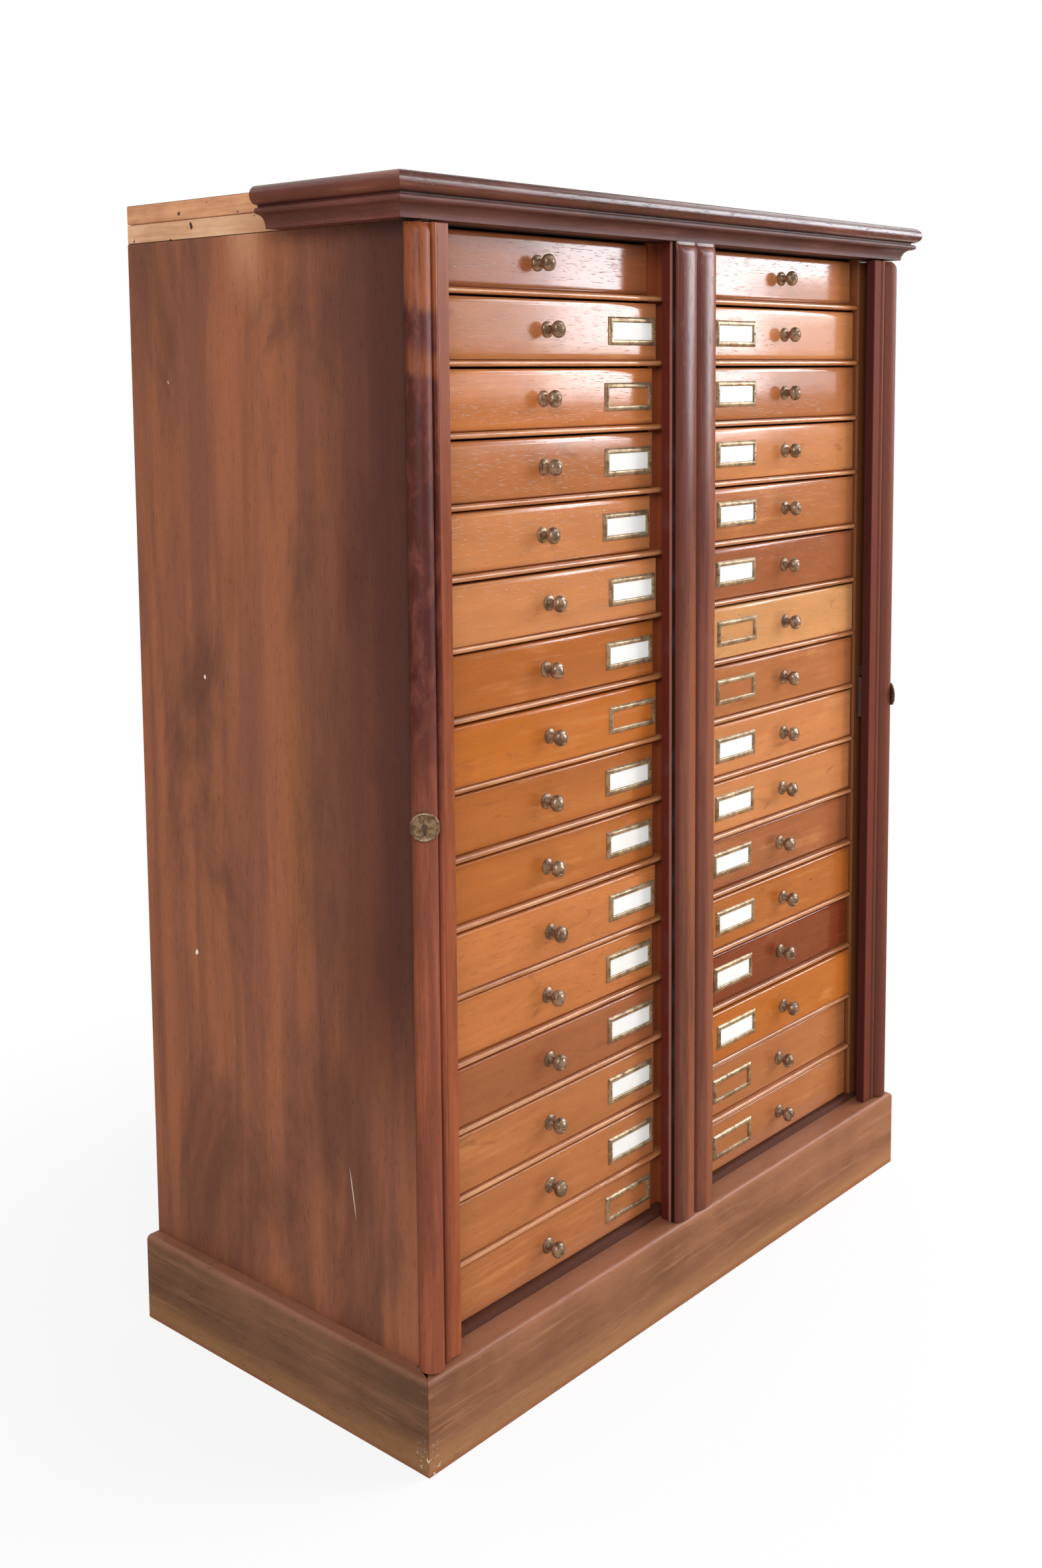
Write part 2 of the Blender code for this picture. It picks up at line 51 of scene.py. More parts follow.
class Grain:
    """A value in a finish. Sums on it add Math nodes, and node() adds any other kind."""

    def __init__(self, tree, socket):
        self.tree = tree
        self.socket = socket

    def node(self, kind, settings, sockets, out=0):
        """Adds a node: its settings first, then a value or a link for each socket named."""
        made = self.tree.nodes.new(kind)
        for name, value in settings.items():
            setattr(made, name, value)
        for name, value in sockets.items():
            if isinstance(value, Grain):
                self.tree.links.new(value.socket, made.inputs[name])
            else:
                made.inputs[name].default_value = value
        return Grain(self.tree, made.outputs[out])

    def sum(self, operation, first, second=0.0):
        return self.node("ShaderNodeMath", {"operation": operation}, {0: first, 1: second})

    def __add__(self, other):
        return self.sum("ADD", self, other)

    def __sub__(self, other):
        return self.sum("SUBTRACT", self, other)

    def __rsub__(self, other):
        return self.sum("SUBTRACT", other, self)

    def __mul__(self, other):
        return self.sum("MULTIPLY", self, other)

    def __abs__(self):
        return self.sum("ABSOLUTE", self)

    __radd__ = __add__
    __rmul__ = __mul__

    def between(self, low, high):
        """Rises smoothly from 0 at low to 1 at high."""
        sockets = {"Value": self, "From Min": low, "From Max": high}
        return self.node("ShaderNodeMapRange", {"interpolation_type": "SMOOTHSTEP"}, sockets)

    def blend(self, bare, covered):
        """The first colour where this is 0, the second where it is 1."""
        sockets = {0: self, 6: bare, 7: covered}
        return self.node("ShaderNodeMix", {"data_type": "RGBA", "clamp_factor": True}, sockets, out=2)

    def shade(self, colour):
        """A colour multiplied by this value."""
        grey = self.node("ShaderNodeCombineColor", {}, {0: self, 1: self, 2: self})
        settings = {"data_type": "RGBA", "blend_type": "MULTIPLY"}
        return self.node("ShaderNodeMix", settings, {0: 1.0, 6: colour, 7: grey}, out=2)

    def noise(self, scale, detail=4.0, rough=0.55, warp=0.0):
        sockets = {"Vector": self, "Scale": scale, "Detail": detail, "Roughness": rough, "Distortion": warp}
        return self.node("ShaderNodeTexNoise", {}, sockets)

    def stretched(self, factors):
        return self.node("ShaderNodeVectorMath", {"operation": "MULTIPLY"}, {0: self, 1: factors})

    def axis(self, index):
        return self.node("ShaderNodeSeparateXYZ", {}, {0: self}, out=index)


def finish(name):
    """A new finish with its shader and the place on the cabinet, in metres."""
    look = bpy.data.materials.new(name)
    look.use_nodes = True
    tree = look.node_tree
    place = Grain(tree, tree.nodes.new("ShaderNodeTexCoord").outputs["Object"])
    return look, tree.nodes["Principled BSDF"], place


def lay(shader, colour, roughness=None, height=None, relief=0.0003):
    """Links what varies over a surface to its shader; height is raised by a Bump."""
    for name, value in (("Base Color", colour), ("Roughness", roughness)):
        if value is not None:
            value.tree.links.new(value.socket, shader.inputs[name])
    if height is not None:
        sockets = {"Strength": 0.6, "Distance": relief, "Height": height}
        bump = height.node("ShaderNodeBump", {}, sockets)
        height.tree.links.new(bump.socket, shader.inputs["Normal"])


ALONG = {"x": (1, 16, 16), "y": (16, 1, 16), "z": (16, 16, 1)}


def figure(place, along):
    """Mahogany figure: broad stripes, fine streaks and pores, each running along the board."""
    lie = place.stretched(ALONG[along])
    stripes = lie.noise(2.2, 3.0, 0.5, 0.8)
    streaks = lie.noise(9.0, 5.0, 0.6, 0.3)
    pores = lie.noise(75.0, 2.0, 0.6).between(0.60, 0.72)
    return stripes, streaks, pores


def polish(shader, specular):
    """How strongly a finish mirrors."""
    shader.inputs["Specular IOR Level"].default_value = specular


def run(bm, ring, far):
    """Extrudes a closed ring of points; far gives each point its place at the other end."""
    face = bm.faces.new([bm.verts.new(point) for point in ring])
    for part in bmesh.ops.extrude_face_region(bm, geom=[face])["geom"]:
        if isinstance(part, bmesh.types.BMVert):
            part.co = far(part.co)


def arc(cx, cy, radius, start, end, steps):
    """Points on a circle between two angles in degrees."""
    turn = [math.radians(start + (end - start) * i / steps) for i in range(steps + 1)]
    return [(cx + radius * math.cos(a), cy + radius * math.sin(a)) for a in turn]


SHARP_TURN = math.radians(38)


def fit(name, bm, look, body, slot, *nodes):
    """Makes a piece from its mesh and sets it on its body in place of its plain solids."""
    bmesh.ops.recalc_face_normals(bm, faces=bm.faces)
    mesh = bpy.data.meshes.new(name)
    bm.to_mesh(mesh)
    bm.free()
    mesh.shade_smooth()
    mesh.set_sharp_from_angle(angle=SHARP_TURN)
    mesh.materials.append(look)
    made = bpy.data.objects.new(name, mesh)
    bpy.context.scene.collection.objects.link(made)
    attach(made, body)
    if nodes:
        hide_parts(*nodes)
    return made


def plinth_finish(along, dark, middle, light):
    """Polished mahogany gone olive, rubbed golden at the foot, with a few chips at the front corner."""
    look, shader, place = finish("plinth_polish_" + along)
    stripes, streaks, pores = figure(place, along)
    clouds = place.noise(6.0, 4.0, 0.6, 0.5)
    body = (stripes * 0.4 + clouds * 0.6).between(0.34, 0.66).blend((*dark, 1), (*middle, 1))
    body = (streaks.between(0.50, 0.74) * 0.6).blend(body, (*light, 1))
    height = place.axis(2)
    foot = (1 - (height + clouds * 0.05 - streaks * 0.01).between(0.022, 0.060)) * 0.6
    body = foot.blend(body, (0.36, 0.175, 0.070, 1))
    hem = (1 - (height + streaks * 0.006).between(0.003, 0.010)) * 0.7
    body = hem.blend(body, (0.24, 0.075, 0.035, 1))
    edge = (height + clouds * 0.012 + streaks * 0.004).between(PLINTH_TOP - 0.001, PLINTH_TOP + 0.009) * 0.6
    body = edge.blend(body, (0.33, 0.125, 0.065, 1))
    corner = (0 - place.axis(0) - place.axis(1)).between(0.612, 0.640)
    low_down = 1 - (height + clouds * 0.02).between(0.018, 0.050)
    chips = place.noise(210.0, 3.0, 0.6).between(0.60, 0.65) * corner * low_down
    body = chips.blend(body, (0.74, 0.66, 0.56, 1))
    colour = (1 - pores * 0.4).shade(body)
    lay(shader, colour, 0.36 + streaks * 0.14 + chips * 0.3, streaks * 0.4 - pores * 0.5 - chips)
    polish(shader, 0.35)
    return look


PLINTH_LOW, PLINTH_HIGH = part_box("plinth_front")
PLINTH_TOP = PLINTH_HIGH.z
PLINTH_EASE = 0.005
MITRE_GAP = 0.0004
GLUE_GAP = 0.0002
CARCASS_LOW, CARCASS_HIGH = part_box("side_panel_left")
SIDE_FACE = -CARCASS_LOW.x
BACK_FACE = CARCASS_HIGH.y
plinth_section = [(0.0, 0.0), *arc(PLINTH_EASE, PLINTH_TOP - PLINTH_EASE, PLINTH_EASE, 180, 90, 6)]


def plinth_ring(depth):
    """Points in from the face, and up, of a plinth board of that depth."""
    return plinth_section + [(depth, PLINTH_TOP), (depth, 0.0)]


PLINTH_T = PLINTH_HIGH.x - SIDE_FACE
bm = bmesh.new()
ring = [
    (-PLINTH_HIGH.x + min(deep, PLINTH_T), PLINTH_LOW.y + deep, z)
    for deep, z in plinth_ring(PLINTH_HIGH.y - PLINTH_LOW.y)
]
run(bm, ring, lambda co: Vector((-co.x, co.y, co.z)))
front_polish = plinth_finish("x", (0.150, 0.058, 0.030), (0.270, 0.112, 0.054), (0.36, 0.165, 0.085))
fit("plinth_front_board", bm, front_polish, "carcass", "polished_mahogany", "plinth_front")
side_polish = plinth_finish("y", (0.105, 0.049, 0.027), (0.195, 0.090, 0.048), (0.27, 0.125, 0.066))
for side, sign in (("left", -1), ("right", 1)):
    bm = bmesh.new()
    ring = [
        (sign * (PLINTH_HIGH.x - deep), PLINTH_LOW.y + deep + MITRE_GAP, z)
        for deep, z in plinth_ring(PLINTH_T - GLUE_GAP)
    ]
    run(bm, ring, lambda co: Vector((co.x, BACK_FACE, co.z)))
    fit(f"plinth_{side}_board", bm, side_polish, "carcass", "polished_mahogany", "plinth_" + side)

# Side panels: wide mahogany boards. The polish has gone blotchy, dark along the front and in clouds,
# with orange streaks, a few pale knocks and scratches, and a smear below the lost moulding.


def side_finish():
    """Satin polish gone blotchy, in upright bands, with marks that show pale wood."""
    look, shader, place = finish("side_polish")
    stripes, streaks, pores = figure(place, "z")
    clouds = place.stretched((1, 1, 0.4)).noise(5.5, 5.0, 0.62, 0.7)
    bands = place.stretched((1, 1, 0.16)).noise(13.0, 3.0, 0.55, 0.4)
    back = place.axis(1)
    height = place.axis(2)
    body = (bands * 0.5 + stripes * 0.5).between(0.40, 0.62)
    body = body.blend((0.222, 0.077, 0.042, 1), (0.325, 0.110, 0.049, 1))
    orange = (bands * 0.55 + streaks * 0.25 + clouds * 0.2).between(0.53, 0.66)
    body = (orange * 0.75).blend(body, (0.345, 0.118, 0.043, 1))
    dark = clouds.between(0.47, 0.66) * 0.75
    body = dark.blend(body, (0.112, 0.043, 0.027, 1))
    front = 1 - (back + clouds * 0.20 - bands * 0.10).between(CARCASS_LOW.y + 0.06, CARCASS_LOW.y + 0.24)
    front = front * (height + clouds * 0.3).between(0.32, 0.62)
    body = (front * 0.9).blend(body, (0.064, 0.019, 0.014, 1))
    ragged = back + streaks * 0.03
    smear = ragged.between(0.012, 0.042) * (1 - ragged.between(0.052, 0.088))
    smear = smear * (height + clouds * 0.10 + streaks * 0.03).between(1.135, 1.22)
    smear = smear * (0 - place.axis(0)).between(0.0, 0.1)
    body = (smear * 0.8).blend(body, (0.50, 0.235, 0.120, 1))
    knocks = place.stretched((1, 1, 0.8)).noise(60.0, 1.0, 0.4).between(0.815, 0.835)
    leaning = {"Vector": place, "Angle": 0.16}
    slant = place.node("ShaderNodeVectorRotate", {"rotation_type": "X_AXIS"}, leaning)
    scratches = slant.stretched((1, 1, 0.05)).noise(150.0, 1.0, 0.4).between(0.80, 0.83)
    scratches = scratches * (1 - height.between(0.30, 0.42))
    marks = knocks + scratches * 0.6
    body = marks.blend(body, (0.75, 0.64, 0.54, 1))
    colour = (1 - pores * 0.4).shade(body)
    lay(shader, colour, 0.42 + clouds * 0.14 + marks * 0.25, streaks * 0.35 - pores * 0.6 - marks)
    polish(shader, 0.28)
    return look


SIDE_T = CARCASS_HIGH.x - CARCASS_LOW.x
SIDE_EASE = 0.0012
SIDE_INNER = SIDE_FACE - SIDE_T
side_look = side_finish()
for side, sign in (("left", -1), ("right", 1)):
    corner = arc(SIDE_FACE - SIDE_EASE, CARCASS_LOW.y + SIDE_EASE, SIDE_EASE, -90, 0, 4)
    plan = [(SIDE_INNER, CARCASS_LOW.y), *corner, (SIDE_FACE, BACK_FACE), (SIDE_INNER, BACK_FACE)]
    bm = bmesh.new()
    run(bm, [(sign * x, y, 0) for x, y in plan], lambda co: Vector((co.x, co.y, CARCASS_HIGH.z)))
    fit(f"side_{side}_board", bm, side_look, "carcass", "side_mahogany", "side_panel_" + side)

# Inside of the carcass: base, rear rail and centre partition of plain pine, stained dark where they
# show at the front, and a back of upright matched boards left from the plane.


BROWN_STAIN = (0.085, 0.030, 0.019)
RED_STAIN = (0.28, 0.064, 0.024)


def pine(name, along, dark, light, stained=0.0, stain_tone=BROWN_STAIN):
    """Bare planed softwood; stained says how strongly its front edge is stained."""
    look, shader, place = finish(name)
    lie = place.stretched(ALONG[along])
    rings = lie.noise(3.0, 4.0, 0.55, 1.2)
    hair = lie.noise(30.0, 3.0, 0.6)
    knots = place.stretched((1.5, 1.5, 1)).noise(7.0, 2.0, 0.5).between(0.70, 0.78)
    stain = place.noise(4.0, 4.0, 0.6)
    body = (rings * 0.7 + hair * 0.3).between(0.35, 0.65).blend((*dark, 1), (*light, 1))
    body = (knots * 0.6).blend(body, (0.16, 0.07, 0.03, 1))
    body = (0.72 + stain * 0.5).shade(body)
    show = 1 - (place.axis(1) + stain * 0.01).between(CARCASS_LOW.y + 0.035, CARCASS_LOW.y + 0.05)
    colour = (show * stained).blend(body, (*stain_tone, 1))
    lay(shader, colour, 0.6 + hair * 0.2 - show * (0.3 * stained), hair * 0.6 + rings * 0.4)
    polish(shader, 0.35)
    return look


def dress(look, slot, *nodes):
    """Gives plain solids that stay as they are their finish."""
    for node in nodes:
        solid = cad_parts[node]
        solid.data.materials.clear()
        solid.data.materials.append(look)


base_look = pine("base_pine", "x", (0.30, 0.17, 0.08), (0.52, 0.33, 0.17), 1.0)
dress(base_look, "carcass_pine", "base_board", "plinth_back")
partition_look = pine("partition_pine", "z", (0.26, 0.13, 0.06), (0.42, 0.24, 0.11), 1.0, RED_STAIN)
dress(partition_look, "carcass_pine", "centre_partition")
BACK_LOW, BACK_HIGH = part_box("back_panel")
BACK_BOARDS = 6
BOARD_GAP = 0.0012
BOARD_JOINT = 0.0001
GAP_DEEP = 0.003
BOARD_EASE = 0.0015
board_w = (BACK_HIGH.x - BACK_LOW.x) / BACK_BOARDS
bm = bmesh.new()
for i in range(BACK_BOARDS):
    edge0, edge1 = BACK_LOW.x + i * board_w, BACK_LOW.x + (i + 1) * board_w - BOARD_JOINT
    x0, x1 = edge0 + BOARD_GAP / 2, edge1 - BOARD_GAP / 2
    y0, y1 = BACK_LOW.y, BACK_HIGH.y
    tongue, arris = y1 - GAP_DEEP, y1 - BOARD_EASE
    plan = [(edge0, y0), (edge1, y0), (edge1, tongue), (x1, tongue), (x1, arris), (x1 - BOARD_EASE, y1)]
    plan += [(x0 + BOARD_EASE, y1), (x0, arris), (x0, tongue), (edge0, tongue)]
    run(bm, [(x, y, BACK_LOW.z) for x, y in plan], lambda co: Vector((co.x, co.y, BACK_HIGH.z)))
back_look = pine("back_pine", "z", (0.29, 0.145, 0.062), (0.50, 0.285, 0.130))
fit("back_boards", bm, back_look, "carcass", "carcass_pine", "back_panel")

# Drawer racks: thin mahogany dust boards with a half-round front edge, housed in an upright lining
# at each side of the cabinet. Their front edges are rubbed pale.


LINING_SHADE = (0.3690, 0.3705)


def dust_finish():
    """Warm polish, rubbed through along the front edge and darker on the lining."""
    look, shader, place = finish("dust_board_polish")
    stripes, streaks, pores = figure(place, "x")
    clouds = place.noise(9.0, 4.0, 0.6)
    body = (stripes * 0.5 + clouds * 0.5).between(0.3, 0.7)
    body = body.blend((0.24, 0.076, 0.027, 1), (0.42, 0.150, 0.054, 1))
    body = (streaks.between(0.5, 0.7) * 0.7).blend(body, (0.50, 0.200, 0.080, 1))
    edge = 1 - (place.axis(1) + clouds * 0.002).between(RACK_FRONT + 0.0008, RACK_FRONT + 0.0022)
    rubbed = edge * streaks.between(0.36, 0.56) * 0.55
    body = rubbed.blend(body, (0.62, 0.32, 0.16, 1))
    lining = abs(place.axis(0)).between(*LINING_SHADE)
    body = lining.blend(body, (0.17, 0.055, 0.020, 1))
    colour = (1 - pores * 0.4).shade(body)
    lay(shader, colour, 0.12 + streaks * 0.08, streaks * 0.2 - pores * 0.4)
    polish(shader, 0.5)
    return look


def slab(bm, low, high):
    """A planed board between two corners."""
    size = Vector(high) - Vector(low)
    centre = (Vector(high) + Vector(low)) / 2
    matrix = Matrix.Translation(centre) @ Matrix.Diagonal((*size, 1))
    return bmesh.ops.create_cube(bm, size=1, matrix=matrix)["verts"]


ROWS = 16
DUST_T = 0.006
PARTITION_LOW, PARTITION_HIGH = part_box("centre_partition")
PARTITION_HALF = 0.019
GUIDE_FRONT = PARTITION_LOW.y + 0.0177
RACK_FRONT = PARTITION_LOW.y + 0.0052
LINING_GAP = 0.0015
LINING_EASE = 0.002
RUNNING_GAP = 0.0003
HOUSING = 0.001
dust_look = dust_finish()
drawer_z = [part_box(f"drawer_left_{n:02d}")[0].z for n in range(1, ROWS + 1)]
for side, sign in (("left", -1), ("right", 1)):
    low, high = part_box("drawer_rack_" + side)
    lining_in = max(abs(corner.x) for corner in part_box(f"drawer_{side}_02")) + LINING_GAP
    lining_out = max(abs(low.x), abs(high.x))
    bm = bmesh.new()
    plan = [(lining_in, high.y), (lining_in, RACK_FRONT + LINING_EASE)]
    plan += [(lining_in + LINING_EASE, RACK_FRONT), (lining_out, RACK_FRONT), (lining_out, high.y)]
    run(bm, [(sign * x, y, low.z) for x, y in plan], lambda co: Vector((co.x, co.y, high.z)))
    for floor_z in drawer_z[:-1]:
        top = floor_z - RUNNING_GAP
        nose = arc(RACK_FRONT + DUST_T / 2, top - DUST_T / 2, DUST_T / 2, 90, 270, 8)
        section = nose + [(GUIDE_FRONT, top - DUST_T), (GUIDE_FRONT, top)]
        ring = [(sign * (PARTITION_HALF + RUNNING_GAP), y, z) for y, z in section]
        run(bm, ring, lambda co: Vector((sign * (lining_in + HOUSING), co.y, co.z)))
        ends = sorted((sign * (PARTITION_HIGH.x + RUNNING_GAP), sign * (lining_in + HOUSING)))
        slab(bm, (ends[0], GUIDE_FRONT, top - DUST_T), (ends[1], high.y, top))
    fit(f"dust_boards_{side}", bm, dust_look, "carcass", "drawer_mahogany", "drawer_rack_" + side)

# Drawers: each front is a faded, polished mahogany board with its edges rounded over, dovetailed to a
# thin open box. The fronts have faded unevenly, so each has a tone of its own.

PALE = (0.506, 0.235, 0.090)
GOLD = (0.446, 0.166, 0.059)
HONEY = (0.419, 0.136, 0.039)
ORANGE = (0.391, 0.109, 0.017)
AMBER = (0.345, 0.118, 0.041)
CHESTNUT = (0.336, 0.097, 0.020)
RUSSET = (0.28, 0.088, 0.034)
DARK = (0.168, 0.033, 0.012)
TONES = {
    "left": [RUSSET, AMBER, HONEY, AMBER, GOLD, GOLD, CHESTNUT, ORANGE,
             CHESTNUT, CHESTNUT, HONEY, HONEY, RUSSET, AMBER, AMBER, AMBER],
    "right": [AMBER, GOLD, AMBER, GOLD, AMBER, RUSSET, PALE, AMBER,
              GOLD, GOLD, RUSSET, CHESTNUT, DARK, ORANGE, AMBER, AMBER],
}
KNOB_OUT = 0.021
FRONT_T = 0.016
EASE_IN = 0.0062
EASE_BACK = 0.0034
EASE_TURNS = (90, 78, 66, 54, 42, 30, 18, 0)
BOX_T = 0.007
BOX_DROP = 0.008
BOX_IN = 0.001
BOX_GAP = 0.0002
BOTTOM_T = 0.005
BOTTOM_LIFT = 0.001


def front_finish():
    """Faded polish over mahogany; the tone comes from each drawer's own colour."""
    look, shader, place = finish("drawer_front_polish")
    tone = place.node("ShaderNodeObjectInfo", {}, {}, out=1)
    stripes, streaks, pores = figure(place, "x")
    clouds = place.stretched((0.7, 1, 1.5)).noise(9.0, 4.0, 0.6, 0.6)
    mottle = place.stretched((0.6, 1, 2)).noise(55.0, 4.0, 0.65)
    body = (0.54 + stripes * 0.30 + clouds * 0.26 + streaks * 0.20 + mottle * 0.16).shade(tone)
    worn = (streaks * 0.5 + clouds * 0.5).between(0.54, 0.70) * 0.35
    body = worn.blend(body, (0.56, 0.26, 0.10, 1))
    veins = place.stretched((2.2, 1, 9)).noise(4.0, 4.0, 0.6, 1.6).between(0.62, 0.72) * 0.5
    body = veins.blend(body, (0.20, 0.058, 0.022, 1))
    dents = place.stretched((0.7, 1, 1)).noise(150.0, 1.0, 0.5).between(0.80, 0.83) * 0.8
    body = dents.blend(body, (0.08, 0.025, 0.012, 1))
    colour = (1 - pores * 0.4).shade(body)
    waves = place.stretched((1, 1, 1.6)).noise(16.0, 2.0, 0.5)
    height = streaks * 0.22 - pores * 0.3 + waves * 1.2 - dents
    lay(shader, colour, 0.11 + clouds * 0.07 + pores * 0.15, height)
    polish(shader, 0.55)
    return look


def board_ring(bm, low, high, inset, y):
    """The four corners of a drawer front, set in from its edges, at that depth."""
    x0, x1, z0, z1 = low.x + inset, high.x - inset, low.z + inset, high.z - inset
    return [bm.verts.new((x, y, z)) for x, z in ((x0, z0), (x1, z0), (x1, z1), (x0, z1))]


def loft(bm, rings):
    """Skins one ring of points to the next and closes both ends."""
    for lower, upper in zip(rings, rings[1:]):
        for i, corner in enumerate(lower):
            bm.faces.new((lower[i - 1], corner, upper[i], upper[i - 1]))
    bm.faces.new(rings[0][::-1])
    bm.faces.new(rings[-1])


front_look = front_finish()
cedar_look = pine("drawer_box_cedar", "y", (0.30, 0.13, 0.055), (0.44, 0.22, 0.10))
faces = {}
for side in TONES:
    for number, tone in enumerate(TONES[side], 1):
        node = f"drawer_{side}_{number:02d}"
        low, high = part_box(node)
        face = low.y + KNOB_OUT
        faces[node] = Vector(((low.x + high.x) / 2, face, (low.z + high.z) / 2))
        bm = bmesh.new()
        rings = [(0.0, face + FRONT_T)]
        for turn in EASE_TURNS:
            t = math.radians(turn)
            rings.append((EASE_IN * (1 - math.sin(t)), face + EASE_BACK * (1 - math.cos(t))))
        loft(bm, [board_ring(bm, low, high, inset, y) for inset, y in rings])
        front = fit(node + "_front", bm, front_look, "body_" + node, "drawer_mahogany", node)
        front.color = (*tone, 1)
        bm = bmesh.new()
        top = high.z - BOX_DROP
        start = face + FRONT_T + BOX_GAP
        left, right = low.x + BOX_IN, high.x - BOX_IN
        slab(bm, (left, start, low.z), (left + BOX_T, high.y, top))
        slab(bm, (right - BOX_T, start, low.z), (right, high.y, top))
        slab(bm, (left + BOX_T, high.y - BOX_T, low.z), (right - BOX_T, high.y, top))
        bottom = low.z + BOTTOM_LIFT
        slab(bm, (left + BOX_T, start, bottom), (right - BOX_T, high.y - BOX_T, low.z + BOTTOM_T))
        fit(node + "_box", bm, cedar_look, "body_" + node, "drawer_mahogany", node)

# Knobs: small brass buttons turned with a flange against the drawer and a thin neck, screwed into the
# front at the middle of its bank. The brass has gone brown, with brighter worn spots.


def aged_brass(name, bright, brown, scale, rubbed):
    """Brass gone brown in patches of that scale, rubbed bright between them, with fine pits."""
    look, shader, place = finish(name)
    tarnish = place.noise(scale, 5.0, 0.65, 0.4)
    pits = place.noise(scale * 6, 2.0, 0.5).between(0.58, 0.66)
    colour = (tarnish + rubbed).between(0.42, 0.62).blend((*brown, 1), (*bright, 1))
    colour = (1 - pits * 0.5).shade(colour)
    lay(shader, colour, 0.44 + pits * 0.2 - tarnish * 0.14, 0 - pits, relief=0.0001)
    shader.inputs["Metallic"].default_value = 0.6
    return look


def turned(bm, profile, steps, matrix):
    """A turned shape: radius and height from the axis, from one end of the profile to the other."""
    rings = []
    for radius, height in profile:
        circle = arc(0, 0, radius, 0, 360 - 360 / steps, steps - 1)
        rings.append([bm.verts.new(matrix @ Vector((x, y, height))) for x, y in circle])
    loft(bm, rings)


KNOB_X = 0.2145
KNOB_STEPS = 28
RIM_R = 0.0066
RIM_TURNS = (0.4, 0.9, 1.4, 1.8, 2.2, 2.6)
knob_flange = [(0.0072, 0.0), (0.0080, 0.0004), (0.0080, 0.0012), (0.0070, 0.0022), (0.0046, 0.0028)]
knob_neck = [(0.0038, 0.0045), (0.0036, 0.0075), (0.0044, 0.0092), (RIM_R, 0.0104)]
knob_rim = [(RIM_R + 0.0019 * math.sin(t), 0.0143 - 0.0034 * math.cos(t)) for t in RIM_TURNS]
knob_crown = [
    (0.0062, 0.0183), (0.0050, 0.0187), (0.0047, 0.0185),
    (0.0040, 0.0190), (0.0022, 0.0201), (0.0006, 0.0205),
]
knob_profile = knob_flange + knob_neck + knob_rim + knob_crown
knob_look = aged_brass("knob_brass", (0.42, 0.29, 0.195), (0.18, 0.108, 0.064), 130.0, 0.02)
FACING = Matrix.Rotation(math.radians(90), 4, "X")
for node, middle in faces.items():
    x = KNOB_X if middle.x > 0 else -KNOB_X
    bm = bmesh.new()
    turned(bm, knob_profile, KNOB_STEPS, Matrix.Translation((x, middle.y, middle.z)) @ FACING)
    fit(node + "_knob", bm, knob_look, "body_" + node, "aged_brass", node)

# Card frames: thin pressed brass frames pinned to every front but the top pair, holding a plain white
# label card slipped in from behind. Some frames have lost their card.

CARD_W = 0.068
CARD_H = 0.020
CARD_X = {"left": -0.081, "right": 0.115}
EMPTY = {"left": (3, 8, 16), "right": (7, 8, 15, 16)}
FRAME_RIM = 0.0044
FRAME_PROUD = 0.0024
PIN_SUNK = 0.0003
PIN_STEPS = 10
CARD_SLACK = 0.0012
CARD_FRONT = 0.0004
CARD_BOW = 0.0002
CARD_BACK = 0.0001
CARD_COLUMNS = 10
frame_section = [
    (-0.0010, 0.0), (-0.0010, 0.0014), (-0.0003, 0.0021), (0.0008, FRAME_PROUD),
    (0.0022, 0.0023), (0.0034, 0.0016), (FRAME_RIM, 0.0005), (FRAME_RIM, 0.0),
]
frame_pin = [(0.0012, 0.0), (0.0011, 0.0006), (0.0006, 0.0010)]
frame_look = aged_brass("card_frame_brass", (0.46, 0.34, 0.21), (0.25, 0.160, 0.085), 90.0, 0.03)


def card_finish():
    """White card, a little foxed, with the fibre just showing."""
    look, shader, place = finish("card_paper")
    fibre = place.noise(900.0, 3.0, 0.6)
    foxing = place.noise(60.0, 4.0, 0.6)
    colour = (foxing.between(0.5, 0.8) * 0.5).blend((0.72, 0.71, 0.69, 1), (0.64, 0.58, 0.49, 1))
    colour = (0.95 + fibre * 0.08).shade(colour)
    lay(shader, colour, 0.7 + fibre * 0.2, fibre, relief=0.0001)
    return look


card_look = card_finish()
for node, middle in faces.items():
    side, number = node.split("_")[1], int(node[-2:])
    if number == 1:
        continue
    x, face, z = CARD_X[side], middle.y, middle.z
    bm = bmesh.new()
    loops = []
    for sx, sz in ((-1, -1), (1, -1), (1, 1), (-1, 1)):
        corner = [
            (x + sx * (CARD_W / 2 + out), face - up, z + sz * (CARD_H / 2 + out))
            for out, up in frame_section
        ]
        loops.append([bm.verts.new(point) for point in corner])
    for i, loop in enumerate(loops):
        for j in range(len(loop)):
            bm.faces.new((loops[i - 1][j - 1], loops[i - 1][j], loop[j], loop[j - 1]))
    for sx in (-1, 1):
        pin_x = x + sx * (CARD_W / 2 + FRAME_RIM / 3)
        seat = Matrix.Translation((pin_x, face - FRAME_PROUD + PIN_SUNK, z)) @ FACING
        turned(bm, frame_pin, PIN_STEPS, seat)
    fit(node + "_card_frame", bm, frame_look, "body_" + node, "aged_brass", node)
    if number in EMPTY[side]:
        continue
    bm = bmesh.new()
    half_w, half_h = CARD_W / 2 - CARD_SLACK, CARD_H / 2 - CARD_SLACK
    ring = []
    for i in range(CARD_COLUMNS + 1):
        t = i / CARD_COLUMNS
        bowed = face - CARD_FRONT - CARD_BOW * math.sin(math.pi * t)
        ring.append((x + half_w * (2 * t - 1), bowed, z - half_h))
    ring += [(px, face - CARD_BACK, pz) for px, _, pz in reversed(ring)]
    run(bm, ring, lambda co: Vector((co.x, co.y, z + half_h)))
    fit(node + "_card", bm, card_look, "body_" + node, "drawer_mahogany")

